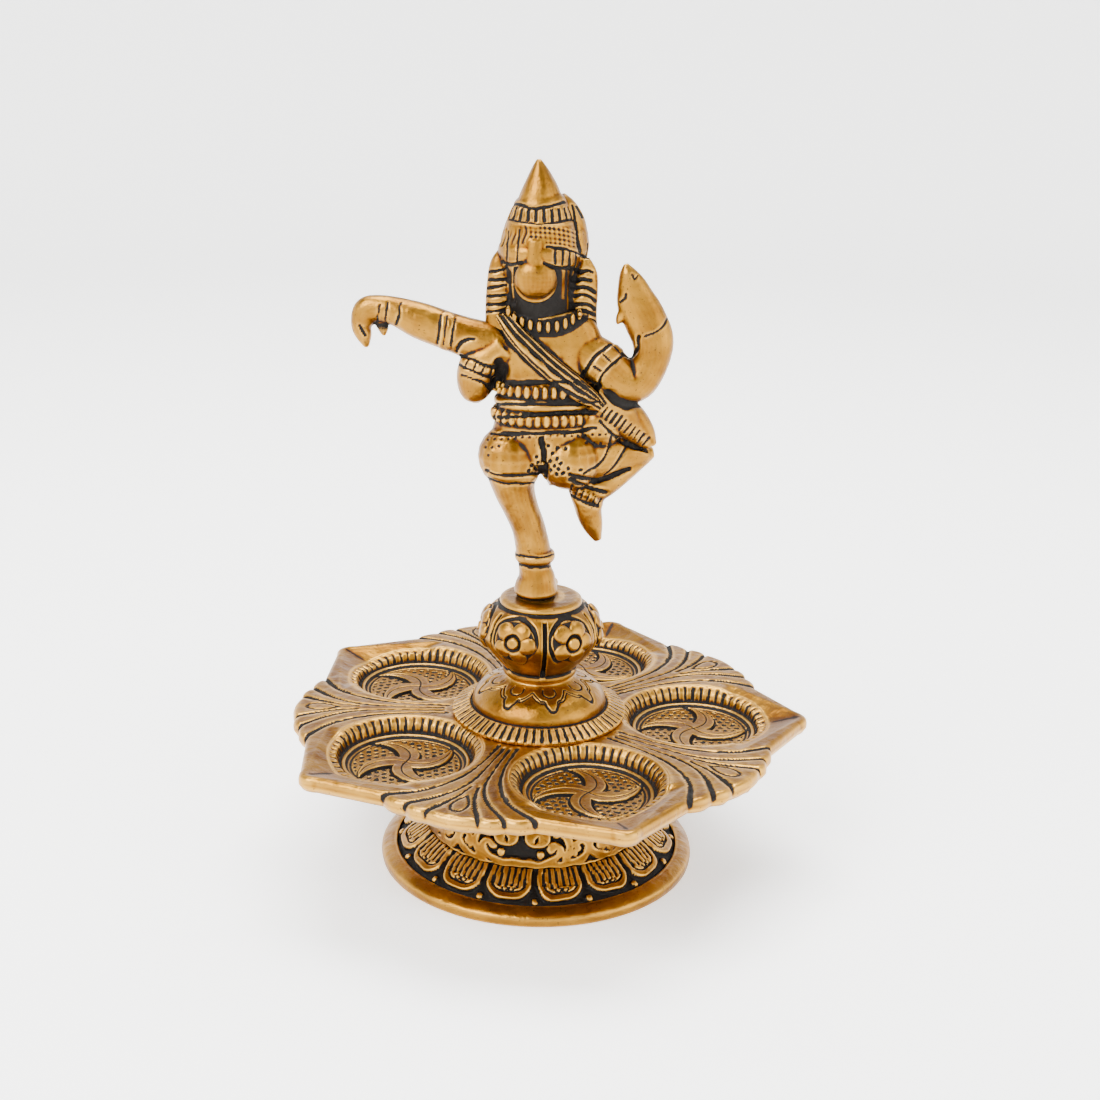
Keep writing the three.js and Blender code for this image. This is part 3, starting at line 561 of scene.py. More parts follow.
def whirl(points):
    """Height and paint of the carving on a bowl's floor."""
    reach = np.maximum(flat_reach(points), 0.01)
    twist = 1.1 * (reach / LEAF_REACH) ** 1.2
    width = 2.9 * np.clip(np.sin(math.pi * np.clip(reach / LEAF_REACH, 0, 1) ** 0.7), 0, 1) ** 0.7
    vein = np.abs(folded(flat_angle(points) - twist, LEAVES, 0.5)) * reach
    across = vein - width
    leaf = smooth(0.1, -0.25, across)
    height = 0.6 * leaf - 0.5 * groove(across - 0.3, 0.35) - 0.3 * groove(vein, 0.22) * leaf
    paint = np.maximum(1.3 * near(across - 0.3, 0.3, 0.7), leaf * smooth(0.3, 0.1, vein))
    # One engraved line runs round the leaves, close to the raised ring.
    height -= 0.4 * groove(reach - FLOOR_LINE, 0.25)
    paint = np.maximum(paint, near(reach - FLOOR_LINE, 0.2, 0.42))
    dot = punched(points + 0.22 * waver(points, 3, 8)[:, None])
    ground = smooth(0.5, 0.8, across) * smooth(13.2, 12.9, reach)
    height -= 0.35 * ground * smooth(0.7, 0.4, dot)
    paint = np.maximum(paint, 1.5 * ground * smooth(0.78, 0.5, dot))
    return height, paint


def rounded_edge(points):
    """How far the plate's round edge draws a face in."""
    to_edge = (edge_radius(flat_angle(points)) - flat_reach(points)) * 0.93
    bend = np.clip(1 - to_edge / EDGE_ROUND, 0, 1)
    return EDGE_ROUND * (1 - np.sqrt(1 - bend ** 2))


def between_ribs(points, softness, sway=1.0):
    """1 in the slits between the ribs round a cup."""
    turn = flat_angle(points - [CUP_PITCH, 0])
    return smooth(0.4, softness, np.abs((turn * RIBS / TURN) % 1 - 0.5) * 2 * sway)


def plate_top(points):
    x, y = points.T
    cup = np.hypot(x - CUP_PITCH, y)
    height = PLATE_TOP - rounded_edge(points)
    depth, paint = engraving(points)
    depth = depth * smooth(BOWL_EDGE, BOWL_EDGE + 0.3, cup)
    paint = paint * smooth(BOWL_EDGE, BOWL_EDGE + 0.3, cup)
    height = height - depth
    bowl = PLATE_TOP - CUP_DEPTH + np.interp(cup, *zip(*BOWL_SHAPE))
    height = np.minimum(height, np.where(cup < BOWL_SHAPE[-1][0], bowl, 99))
    slit = between_ribs(points, 0.16, 1 + 0.45 * waver(points, 4, 2))
    wall = within(cup, *RIBBED_WALL)
    carving, stain = whirl(np.column_stack([x - CUP_PITCH, y]))
    floor = smooth(14.7, 14.4, cup)
    spout = PLATE_TOP + 0.1 - SPOUT_DEPTH * (1 - (x - SPOUT_START) / (SPOUT_END - SPOUT_START))
    spout = spout + SPOUT_SLOPE * np.sqrt(y ** 2 + 2) - 0.3
    in_spout = smooth(0.35, -0.35, spout - height) * smooth(CUP_PITCH + 8, CUP_PITCH + 12, x)
    height = height + (np.minimum(spout, height) - height) * in_spout
    height = height - 0.6 * wall * slit + floor * carving
    outer_line = 0.4 * near(cup - RING_OUTSIDE, 0.1, 0.28)
    ringed = np.maximum(near(cup - RING_INSIDE, 0.1, 0.3), outer_line)
    worn = 0.7 + 0.45 * waver(points, 9, 12)
    # Painted shade: a dark line along the bottom of each spout's V.
    valley_shade = near(y, 0.1, 0.5) * smooth(SPOUT_START + 1, SPOUT_START + 4, x) * in_spout * 0.5
    paint = np.maximum(paint, np.maximum(wall * slit, ringed * worn))
    paint = paint * (1 - 0.9 * in_spout * smooth(17.2, 17.8, cup))
    return height, np.maximum.reduce([paint, floor * stain, valley_shade])


# %% Height of the plate's underside
BELLY = [
    (0, -4.4), (12, -4.4), (15, -4.1), (17.2, -3.4), (19, -2.2), (20.2, -0.9), (20.6, 0.0),
    (22, 0.0),
]


def plate_under(points):
    x, y = points.T
    cup = np.hypot(x - CUP_PITCH, y)
    height = FOOT_TOP + np.interp(cup, *zip(*BELLY)) + rounded_edge(points)
    slit = between_ribs(points, 0.15)
    ribbed = within(cup, *RIBBED_BELLY)
    return height + 0.4 * slit * ribbed, ribbed * slit


# %% The deck, round all five bowls
EDGE_COLUMNS, SIDE_COLUMNS, BORE_COLUMNS = 208, 88, 12
WALL_ROWS = 3
CROWDING = 1.15


def sector_border():
    edge = np.linspace(-HALF_SECTOR, HALF_SECTOR, EDGE_COLUMNS + 1)
    radii = edge_radius(edge)
    outer = from_stem(radii, edge)
    up = from_stem(np.linspace(radii[-1], BORE, SIDE_COLUMNS + 1)[1:], HALF_SECTOR)
    inner = from_stem(BORE, np.linspace(HALF_SECTOR, -HALF_SECTOR, BORE_COLUMNS + 1)[1:])
    back = (up * [1, -1])[::-1][1:]
    return np.vstack([outer, up, inner, back, outer[:1]])


BORDER = sector_border()
BORDER_COLUMNS = len(BORDER) - 1


def deck_points(column, share):
    """Flat places between a bowl's edge and the sector's border."""
    end = BORDER[column]
    way = end - [CUP_PITCH, 0]
    start = [CUP_PITCH, 0] + BOWL_EDGE * way / flat_reach(way)[:, None]
    return start + (end - start) * share[:, None]


def on_face(face, flat):
    return np.column_stack([flat, face(flat)[0]])


def upright(flat, share):
    """Places between the upper face and the underside: share 0 is up and 1 is down."""
    top, low = plate_top(flat)[0], plate_under(flat)[0]
    return np.column_stack([flat, top + (low - top) * share])


def deck_part(face, rows):
    def rule(column, row):
        return on_face(face, deck_points(column, 1 - (1 - row / rows) ** CROWDING))
    return bent_grid(BORDER_COLUMNS, rows, rule)


def wall_part(first, columns, share):
    """An upright strip that joins the two faces along some columns."""
    def rule(column, row):
        return upright(deck_points(first + column, np.full(len(column), share)), row / WALL_ROWS)
    return bent_grid(columns, WALL_ROWS, rule)


def star_deck():
    parts = [deck_part(plate_top, 34), deck_part(plate_under, 9), wall_part(0, EDGE_COLUMNS, 1.0),
             wall_part(EDGE_COLUMNS + SIDE_COLUMNS, BORE_COLUMNS, 1.0),
             wall_part(0, BORDER_COLUMNS, 0.0)]
    return joined("star_deck", [copy for part in parts for copy in turned_copies(part, CUPS)])


def plate_paint(mesh):
    """Paint of each vertex of a plate part, from its place in its own sector."""
    radius, angle, _ = round_coordinates(places(mesh))
    flat = from_stem(radius, folded(angle, CUPS))
    return np.where(outward(mesh)[:, 2] > 0, plate_top(flat)[1], plate_under(flat)[1])


deck_mesh = star_deck()
finished_piece("star_deck", "five_cup_plate", deck_mesh, plate_paint(deck_mesh))

# %% The five bowls
BOWL_COLUMNS, BOWL_ROWS = 360, 78


def bowl_points(column, reach):
    turn = column * TURN / BOWL_COLUMNS
    return np.column_stack([CUP_PITCH + reach * np.cos(turn), reach * np.sin(turn)])


def bowl_part(face, rows):
    def rule(column, row):
        return on_face(face, bowl_points(column, BOWL_EDGE * row / rows))
    return bent_grid(BOWL_COLUMNS, rows, rule)


def bowl_wall():
    def rule(column, row):
        return upright(bowl_points(column, BOWL_EDGE), row / 2)
    return bent_grid(BOWL_COLUMNS, 2, rule)


for number in range(CUPS):
    bowl_name = f"cup_bowl_{number + 1}"
    bowl_parts = [bowl_part(plate_top, BOWL_ROWS), bowl_part(plate_under, 20), bowl_wall()]
    bowl_mesh = joined(bowl_name, bowl_parts)
    bowl_mesh.transform(Matrix.Rotation(number * TURN / CUPS, 4, "Z"))
    finished_piece(bowl_name, "five_cup_plate", bowl_mesh, plate_paint(bowl_mesh))

# %% [markdown]
# ## The lotus foot
# The foot is round, so its wall is one profile spun round the stem, hollow below as the casting
# is. The petals, ribs and scrolls are then raised from that skin: every vertex knows its radius,
# angle and height, and a rule turns these into a relief. That keeps sixteen equal petals exactly
# round the foot without placing any by hand.

# %% Profile of the foot
FOOT_RADIUS = box_mm("base_foot")[1][0] - STEM_X
SLOPE_START = np.array([28.6, 8.8])
SLOPE_END = np.array([35.8, 3.6])
SLOPE_LENGTH = np.hypot(*(SLOPE_END - SLOPE_START))
DRUM_RADIUS = 27.6
FOOT_STEPS = 600

RIM = [(-0.15, 0.25), (0, 1.4), (-0.25, 2.4), (-1.1, 3.1)]
foot_profile = [
    spaced([(37.6, 0), (FOOT_RADIUS - 0.6, 0)], 1.4),
    spaced(through([(FOOT_RADIUS + out, up) for out, up in RIM] + [(38.6, 3.75), (37.4, 4.0)], 40),
           0.33),
    spaced([(36.9, 3.8), (36.5, 2.9), SLOPE_END], 0.3),
    spaced([SLOPE_END, SLOPE_START], 0.2)[1:],
    spaced(through([(27.9, 9.1), (DRUM_RADIUS, 10.2), (DRUM_RADIUS - 0.2, 13.5),
                    (DRUM_RADIUS - 1.6, 17), (24.4, 19.2), (21.0, 21)], 60), 0.27),
    spaced(through([(20.2, 21.6), (16.4, 25.6), (14.2, 30), (15.6, 33.6), (17.9, 35.4)], 40), 0.8),
    above(FOOT_TOP, [(17.9, 0), (BORE, 0), (BORE, -4), (10.8, -4)]),
    [(11, 28), (13, 24.5), (18.6, 19), (23.9, 15), (25, 8.6), (33.5, 2.0), (36.4, 1.2)],
]
foot_mesh = spun("lotus_foot", foot_profile, FOOT_STEPS)
print(f"foot: {len(foot_mesh.vertices)} vertices, slope {SLOPE_LENGTH:.1f} mm")

# %% Petals of the foot
PETALS = 16
PETAL_GAP = 0.42


def rounded_box(x, y, half_width, top, corner):
    """Signed distance to a tongue: straight sides, a rounded end at the top. Negative inside."""
    a, b = np.abs(x) - (half_width - corner), y - (top - corner)
    return np.hypot(np.maximum(a, 0), np.maximum(b, 0)) + np.minimum(np.maximum(a, b), 0) - corner


def petal_relief(radius, angle, height):
    """Relief and paint on the slope. t runs from the drum outward, a across the petal."""
    t = (np.column_stack([radius, height]) - SLOPE_START) @ (SLOPE_END - SLOPE_START) / SLOPE_LENGTH
    around = np.column_stack([angle * DRUM_RADIUS, t])
    a = folded(angle, PETALS, math.pi / PETALS) * radius + 0.3 * waver(around, 6, 21)
    half = math.pi * radius / PETALS - PETAL_GAP
    inside = -rounded_box(a, t, half, SLOPE_LENGTH - 0.3 + 0.3 * waver(around, 9, 22), 4.7)
    edge = smooth(0, 0.5, inside)
    inline = near(inside - 1.75 - 0.5 * smooth(SLOPE_LENGTH - 4, SLOPE_LENGTH - 2, t), 0.14, 0.36)
    field = smooth(1.9, 2.3, inside)
    end = SLOPE_LENGTH - 3.6 + 0.5 * waver(around, 4, 23)
    ribs = smooth(0.2, 0.8, np.cos(a * TURN / 1.5 + math.pi)) * smooth(end, end - 0.5, t)
    curl = np.hypot(np.abs(a) - 0.9, t - SLOPE_LENGTH + 3.3)
    swirl = near(curl - 0.72, 0.12, 0.3) * smooth(SLOPE_LENGTH - 3.9, SLOPE_LENGTH - 3.5, t)
    cut = np.clip(inline + field * (ribs + swirl), 0, 1)
    from_gap = math.pi * radius / PETALS - np.abs(a)
    back_tip = smooth(1.0, 0.5, np.hypot(from_gap, (t - SLOPE_LENGTH + 0.4) * 0.8))
    back_tip = 0.85 * back_tip * smooth(0.1, -0.1, inside)
    relief = np.maximum(1.3 * edge - 0.55 * cut * edge, back_tip)
    shade = 1 - np.maximum(edge, back_tip) + cut * edge * (1.0 + 0.3 * waver(around, 3, 24))
    return relief, np.clip(shade + 0.16 * field * edge, 0, 1)


# %% Scrolls of the drum
SCROLL_UNITS = 5
SCROLL_AXIS = math.radians(-97.5)
SCROLLS = [stroke(path) for path in (
    [(-0.5, 1.5), (3, 0.95), (6.6, 1.3), (9.3, 3.2), (9.7, 5.3), (8.3, 6.0), (7.5, 4.9)],
    [(9.2, 0.8), (13, 0.9), (16.2, 2.6), (17.1, 5.1), (15.5, 6.6), (13.9, 5.8), (14.3, 4.5)],
    [(10.8, 2.6), (12.1, 4.6), (11.9, 7.2), (10.6, 9.3)])]
DROPS = [(4.9, 3.5), (13.4, 3.6), (16.6, 9.2), (8.9, 8.9)]


def drum_relief(radius, angle, height):
    """Relief and paint on the drum: u runs round it from the middle of a unit, v up it."""
    u = np.abs(folded(angle, SCROLL_UNITS, SCROLL_AXIS)) * DRUM_RADIUS
    v = (height - 9.7) + np.maximum(DRUM_RADIUS - radius, 0) * 0.8
    flat = np.column_stack([u, v])
    gap = np.minimum.reduce([distance_to(flat, scroll) for scroll in SCROLLS])
    around = np.column_stack([angle * DRUM_RADIUS, height])
    width = 1.15 + 0.4 * waver(around, 5, 25)
    scroll = smooth(width + 0.35, width - 0.25, gap)
    drop = np.minimum.reduce([np.hypot(u - x, (v - y) * 0.9) for x, y in DROPS])
    blob = smooth(1.35, 0.7, drop + 0.2 * waver(around, 2.5, 26))
    tongue = -rounded_box(u - 4.1, -v + 4.9, 3.75, 0, 3.2)
    lip = smooth(0, 0.7, tongue)
    slit = smooth(0.5, 0.15, np.hypot(u - 3.9 - 0.35 * (v - 7.6), (v - 7.6) * 0.42))
    line = near(v - 0.1 - 0.2 * np.sin(u * 1.1), 0.3, 0.7)
    raised = np.clip(np.maximum.reduce([scroll, blob, lip, line]), 0, 1)
    relief = 1.25 * raised - 0.9 * slit * lip
    return relief, np.clip(1 - raised + slit * lip, 0, 1)


def foot_relief(mesh):
    radius, angle, height = round_coordinates(places(mesh))
    out = outward(mesh)
    facing = (out[:, 2] > -0.25) & (height > 1.6)
    on_slope = within(radius, (36.35, 36.1), (28.1, 28.4)) * facing
    drum_height = (height > 8.9) & (height < 22)
    on_drum = within(radius, (28.4, 28.1), (20.6, 21.8)) * drum_height * facing
    petal, gap = petal_relief(radius, angle, height)
    drum, ground = drum_relief(radius, angle, height)
    recess = within(radius, (37.3, 36.9), (35.6, 36.0)) * facing
    # Painted shade: the foot's narrow top, under the plate, is darkened.
    shade_under_plate = smooth(21.8, 20.6, radius) * (height > 18) * 0.6
    relief = petal * on_slope + drum * on_drum
    paint = np.maximum.reduce([gap * on_slope, ground * on_drum, recess, shade_under_plate * facing])
    return relief, paint * (radius > 12)


pressed_piece("lotus_foot", "base_foot", foot_mesh, foot_relief(foot_mesh))

# %% [markdown]
# ## The dome and the bud
# Both are spun too. The dome's petals are engraved with a double line, so the relief goes inward.
# The bud is six panels with a flower in each, and the black slots between them show how deep
# the paint lies.

# %% The ribbed dome
COLLAR_STEPS = 720
COLLAR_RIBS = 64
DOME_PETALS = 8
DOME_FIRST = math.radians(-90 + 14)
collar_profile = [
    [(BORE, PLATE_TOP), (12, PLATE_TOP)],
    spaced(above(PLATE_TOP, [(21.9, 0), (22.4, 0.5), (22.4, 1.2), (18.3, 3.3)]), 0.4),
    spaced(above(PLATE_TOP, [(17.9, 3.0), (17.6, 2.6)]), 0.3),
    spaced(through(above(PLATE_TOP, [(17.3, 3.0), (16.9, 5), (15.2, 7.2), (12.2, 9), (9.7, 10),
                                     (8.7, 10.7)]), 60), 0.22),
    [(8.6, COLLAR_TOP), (BORE, COLLAR_TOP)],
]
collar_mesh = spun("ribbed_dome", collar_profile, COLLAR_STEPS)

OGEE = [
    (15.9, 0), (15.7, 2.6), (14.7, 5.6), (13.7, 8.0), (13.6, 11), (13.0, 14.5), (12.0, 19),
    (11.0, 22.5),
]
OGEE_LINE = drawn(OGEE, 30)
PETAL_LOOP = drawn([(9.8, 8.5), (11.2, 8.5), (12.1, 4.6), (12.4, 0)], 14)


def dome_relief(mesh):
    p = places(mesh)
    radius, angle, height = round_coordinates(p)
    fold = np.abs(folded(angle, DOME_PETALS, DOME_FIRST))
    flat = from_stem(radius, fold)
    on_dome = (height > PLATE_TOP + 2.9) & (radius < 17.5)
    bold = smooth(13.2, 14.6, radius)
    gap = distance_to(flat, OGEE_LINE) + 0.06 * waver(p, 2.5, 31)
    double = np.abs(gap - 0.34 * (1 - bold))
    loop = distance_to(flat, PETAL_LOOP)
    line = smooth(0.24 + 0.2 * bold, 0.08, double)
    thin = smooth(0.3, 0.1, loop) * smooth(8.8, 9.4, radius)
    rib = np.cos(folded(angle, COLLAR_RIBS) * COLLAR_RIBS)
    slit = smooth(-0.1, -0.75, rib + 0.25 * waver(p, 3, 32))
    ring = smooth(17.9, 18.4, radius) * (height > PLATE_TOP + 0.3)
    relief = -(0.34 * line + 0.22 * thin) * on_dome - 0.6 * slit * ring
    seam = near(radius - 17.8, 0.2, 0.55) * (height > PLATE_TOP + 2) * (0.5 + 0.4 * waver(p, 9, 34))
    # Painted shadow: a dark ring on the dome's top, round the foot of the bud.
    shadow_below_bud = smooth(9.5, 8.9, radius) * (height > PLATE_TOP + 9)
    shade = (0.45 + 0.55 * bold) * line * (0.75 + 0.25 * waver(p, 6, 33)) + 0.3 * thin
    paint = np.maximum.reduce([shade * on_dome, slit * ring, seam, shadow_below_bud])
    return relief, paint


pressed_piece("ribbed_dome", "dome_collar", collar_mesh, dome_relief(collar_mesh))

# %% The flower bud
BUD_STEPS = 640
BUD_PANELS = 6
BUD_FIRST_LINE = math.radians(5 - 90)
BUD_MIDDLE = COLLAR_TOP + 12.9
bud_profile = [
    [(BORE, COLLAR_TOP), (5, COLLAR_TOP)],
    spaced(through(above(COLLAR_TOP, [(8.4, 0), (9.2, 0.4), (9.5, 1.1), (9.4, 2)]), 12), 0.3),
    spaced(through(above(COLLAR_TOP, [(9.2, 2.4), (12.3, 6), (14.8, 9.6), (15.3, 12.4),
                                      (14.2, 15.8), (12.2, 18.2), (10.6, 19.1)]), 90), 0.24),
    spaced(through(above(BUD_TOP, [(10.2, -1.7), (10.5, -1.2), (10.3, -0.5), (9.6, -0.1)]), 14),
           0.3),
    spaced([(9.2, BUD_TOP), (5.4, BUD_TOP)], 0.5),
    [(BORE, BUD_TOP)],
]
bud_mesh = spun("flower_bud", bud_profile, BUD_STEPS)
FLOWER_PETALS = [132, 213, 292, 359, 60]


def bud_relief(mesh):
    p = places(mesh)
    radius, angle, height = round_coordinates(p)
    across = folded(angle, BUD_PANELS, BUD_FIRST_LINE + math.pi / BUD_PANELS) * radius
    up = (height - BUD_MIDDLE) * 1.08
    low, high = height - COLLAR_TOP, height - BUD_TOP
    belly = smooth(2.1, 3.0, low) * smooth(-1.9, -2.5, high) * (radius > 9)
    line = np.abs(folded(angle, BUD_PANELS, BUD_FIRST_LINE) * radius)
    slot_width = 0.42 + 0.14 * smooth(6, 3, low)
    slot = smooth(slot_width + 0.22, slot_width, line) * smooth(-2.4, -3.2, high)
    reach = np.hypot(across + 0.4, up) + 0.22 * waver(p, 5, 42)
    turn = np.degrees(np.arctan2(up, across + 0.4)) % 360
    petal = np.full(len(p), -9.0)
    for middle in FLOWER_PETALS:
        swing = np.radians((turn - middle + 180) % 360 - 180) * reach
        petal = np.maximum(petal, 1 - ((reach - 4.0) / 2.2) ** 2 - (swing / 2.5) ** 2)
    bulge = np.sqrt(np.clip(petal, 0, 1)) * smooth(1.7, 2.3, reach)
    ring = near(reach - 2.05, 0.2, 0.5) * (0.45 + 0.55 * smooth(-1.6, 0.6, up))
    boss = smooth(1.85, 1.0, reach)
    cut = smooth(0.1, -0.25, petal) * smooth(5.9, 5.2, reach) * smooth(1.8, 2.2, reach)
    arch = near(reach - 6.2, 0.3, 0.62) * smooth(-5.0, -1.5, up - 0.6 * across)
    relief = 0.85 * bulge + 0.8 * boss - 0.5 * ring - 0.2 * cut - 0.6 * arch
    relief = relief * smooth(0.6, 1.1, line) - 1.5 * slot
    worn = 0.68 + 0.5 * waver(p, 7, 41)
    paint = np.maximum.reduce([0.85 * ring * worn, 0.8 * cut * worn, arch * worn, slot])
    under = near(high + 1.85, 0.2, 0.5) + 0.75 * near(low - 2.2, 0.2, 0.45)
    under = under * (0.85 + 0.45 * waver(p, 8, 43))
    foot_ring = smooth(6.4, 5.9, radius) * (high > -0.3)
    return relief * belly, np.clip(paint * belly + under * (radius > 8) + foot_ring, 0, 1)


pressed_piece("flower_bud", "lotus_bud", bud_mesh, bud_relief(bud_mesh))

# %% [markdown]
# ## The dancing figure: limbs
# The figure is a solid casting whose limbs flow into each other. Each limb is first a tube of
# rounds along a soft curve, the way an armature is padded with clay: a few stations give the
# place, half width and half depth. Places are in parts of the figure's height, which equal
# millimetres here, from the stem's axis and the sole. The photo shows its back, so the front is
# made as such figures usually are, plainly and in the same style.

# %% Limb, ball and hoop
ROUND_SPACING = 0.8
FEWEST_ROUNDS = 6
AXES = {"y": [0, 1, 0], "z": [0, 0, 1]}


def limb(stations, facing="y", sides=28):
    """A tube through stations of x, y, z, half width and half depth."""
    rough = np.asarray(stations, dtype=float)
    length = np.linalg.norm(np.diff(rough[:, :3], axis=0), axis=1).sum()
    rounds = max(FEWEST_ROUNDS, int(length / ROUND_SPACING))
    line = through(rough, rounds + 1)
    ahead = np.gradient(line[:, :3], axis=0)
    ahead /= np.linalg.norm(ahead, axis=1)[:, None]
    side = np.cross(AXES[facing], ahead)
    side /= np.linalg.norm(side, axis=1)[:, None]
    deep = np.cross(ahead, side)

    def rule(column, row):
        at = np.clip(row - 1, 0, rounds)
        open_end = ((row > 0) & (row < rounds + 2))[:, None]
        turn = column * TURN / sides
        across = side[at] * (line[at, 3] * np.cos(turn))[:, None]
        across = across + deep[at] * (line[at, 4] * np.sin(turn))[:, None]
        return line[at, :3] + across * open_end
    return joined("limb", [bent_grid(sides, rounds + 2, rule)], 0.0005)


def ball(place, half_sizes, segments=20):
    bm = bmesh.new()
    bmesh.ops.create_uvsphere(bm, u_segments=segments, v_segments=segments // 2, radius=1)
    bmesh.ops.scale(bm, vec=half_sizes, verts=bm.verts)
    bmesh.ops.translate(bm, vec=place, verts=bm.verts)
    return mesh_of(bm, "ball")


HOOP_SIDES, HOOP_ROUNDS = 96, 14


def hoop(x, y, z, width, depth, thick, tall):
    """A belt: an oval ring with an oval section."""
    def rule(column, row):
        turn, roll = column * TURN / HOOP_SIDES, row * TURN / HOOP_ROUNDS
        out = thick * np.cos(roll)
        return np.column_stack([x + (width + out) * np.cos(turn), y + (depth + out) * np.sin(turn),
                                z + tall * np.sin(roll)])
    return joined("hoop", [bent_grid(HOOP_SIDES, HOOP_ROUNDS, rule)], 0.0005)


def beads_on_hoop(x, y, z, width, depth, half_sizes, pitch):
    """Beads evenly spaced round an oval."""
    count = int(TURN * math.sqrt((width ** 2 + depth ** 2) / 2) / pitch)
    turns = np.linspace(0, TURN, 721)
    steps = np.hypot(width * np.diff(np.cos(turns)), depth * np.diff(np.sin(turns)))
    reach = np.concatenate([[0], np.cumsum(steps)])
    at = np.interp(np.arange(count) * reach[-1] / count, reach, turns)
    return [ball((x + width * math.cos(turn), y + depth * math.sin(turn), z), half_sizes, 10)
            for turn in at]


BODY_VOXEL = 0.355
HEAD_VOXEL = 0.26


def one_skin(name, solids, voxel):
    """Overlapping solids melt into one skin, softened as a worn casting is."""
    piece = bpy.data.objects.new(name, joined(name, solids, 0.0001))
    bpy.context.scene.collection.objects.link(piece)
    melt = piece.modifiers.new("melt", "REMESH")
    melt.mode = "VOXEL"
    melt.voxel_size = voxel
    soft = piece.modifiers.new("soft", "SMOOTH")
    soft.factor = 0.5
    soft.iterations = 2
    melted = piece.evaluated_get(bpy.context.evaluated_depsgraph_get())
    skin = bpy.data.meshes.new_from_object(melted)
    bpy.data.objects.remove(piece)
    print(f"{name}: {len(skin.polygons)} faces from {len(solids)} solids")
    return skin


# %% Legs
STANDING_LEG = [
    (-1.4, 0, 0, 4.9, 4.8), (-1.4, 0, 0.6, 4.9, 4.8), (-1.4, 0, 1.2, 5.5, 5.7),
    (-1.4, 0, 2.4, 5.4, 5.6), (-1.3, 0, 4.9, 4.8, 5.0), (-1.7, 0, 7.5, 4.1, 4.4),
    (-2.1, 0, 11.5, 4.4, 4.7), (-3.5, 0, 18, 4.2, 5), (-5.5, 0, 23.2, 4.4, 5.3),
    (-7.3, 0, 28.5, 5.3, 6), (-7.6, 0, 34, 7, 7), (-6.6, 0, 40, 6, 6),
]
STANDING_FOOT = [(-1.2, 0, 2.6, 4.4, 2.4), (-0.9, 5, 2, 5.2, 2.2), (-1, 9.2, 1.2, 3, 1.3)]
THIGH = [
    (1, -0.5, 36.5, 7, 6.8), (9, 1, 36.6, 7, 6.6), (18, 3, 36.6, 5.4, 5.2), (25, 4, 36.8, 2.6, 3.2),
    (27.4, 4, 37.2, 1.2, 1.2),
]
SHIN = [
    (25.2, 3.8, 36.6, 2.2, 2.4), (20.6, 3, 33.6, 3.1, 3.4), (15.4, 1.8, 29.6, 3.4, 3.6),
    (11, 1, 27.2, 3.6, 3.6),
]
HANGING_FOOT = [
    (9.6, 0.8, 29.6, 3.8, 3.4), (11.1, 0.8, 25.8, 4, 3.6), (11.5, 0.8, 22.4, 3.3, 3.1),
    (12.6, 1.2, 18.6, 2.6, 2.5), (14, 1.6, 14.6, 1, 1),
]


def legs():
    anklet = [ball((x, -2.7, w + 0.95), (0.72, 0.8, 1.05), 10)
              for x, w in [(7.3, 28.4), (8.7, 27.9), (10.1, 27.3), (11.5, 26.6), (12.8, 25.8)]]
    return [limb(STANDING_LEG), limb(STANDING_FOOT, "z"), limb(THIGH), limb(SHIN),
            limb(HANGING_FOOT), hoop(-1.8, 0, 10.8, 4.5, 4.7, 0.62, 1.3)] + anklet


# %% Trunk of the body, belts and sash
BODY = [
    (-0.6, 0.4, 36, 11, 7), (-0.8, 0.6, 42, 12.2, 7.8), (-0.6, 0.8, 47.6, 11, 7.8),
    (-0.5, 0.8, 54, 11.3, 7.6), (-0.6, 0.4, 60, 12.4, 6.8), (-0.4, 0, 65, 14.2, 6),
    (-0.4, 0, 68.5, 12.8, 5.4), (-1, 0.2, 72, 8.4, 5),
]
SASH_LINES = [list(zip(across, height)) for across, height in (
    ([-12.6, -9.2, -5.4, -1.6, 2.8, 7.3, 13.3], [70.9, 65.3, 61.0, 57.6, 53.9, 51.4, 48.7]),
    ([-11.2, -7.3, -3.1, 1.2, 5.7, 10.8, 13.9], [71.5, 66.2, 62.0, 58.1, 54.5, 51.3, 49.3]),
    ([-9.9, -6.0, -1.9, 2.5, 7.1, 11.8, 14.2], [71.6, 66.9, 62.9, 58.8, 55.4, 51.8, 49.6]),
    ([-8.5, -5.0, -0.7, 3.9, 8.6, 12.8, 14.7], [71.6, 67.6, 63.6, 59.5, 55.9, 52.4, 50.0]))]
SASH_DEPTH = [-3.4, -5.9, -6.9, -7.3, -7.1, -6.0, -4.2]
HIP_CLOTH = [
    (12.6, 0, 52.4, 2.4, 3), (18.2, 0.4, 50.4, 2.8, 3), (22.0, 0.8, 47.6, 2.6, 2.8),
    (25.2, 1.6, 43.4, 2, 2.2), (27, 2.2, 39.6, 1, 1.2),
]
PLEATS = [
    (11.6, -3.4, 52.6, 3.0, 2.4), (17.0, -1.8, 49.2, 4.2, 3), (21, 0, 45, 3.6, 3),
    (26, 2, 39.8, 1.6, 1.8),
]
LOOK = 0.343


def sash():
    ridges = []
    for low, high in zip(SASH_LINES, SASH_LINES[1:]):
        stations = []
        for (x0, w0), (x1, w1), y in zip(low, high, SASH_DEPTH):
            half = math.hypot(x1 - x0, w1 - w0) / 2
            stations.append(((x0 + x1) / 2, y, (w0 + w1) / 2 - LOOK * y, half * 0.95, 1.0))
        ridges.append(limb(stations, sides=14))
    return ridges + [limb(PLEATS), limb(HIP_CLOTH)]


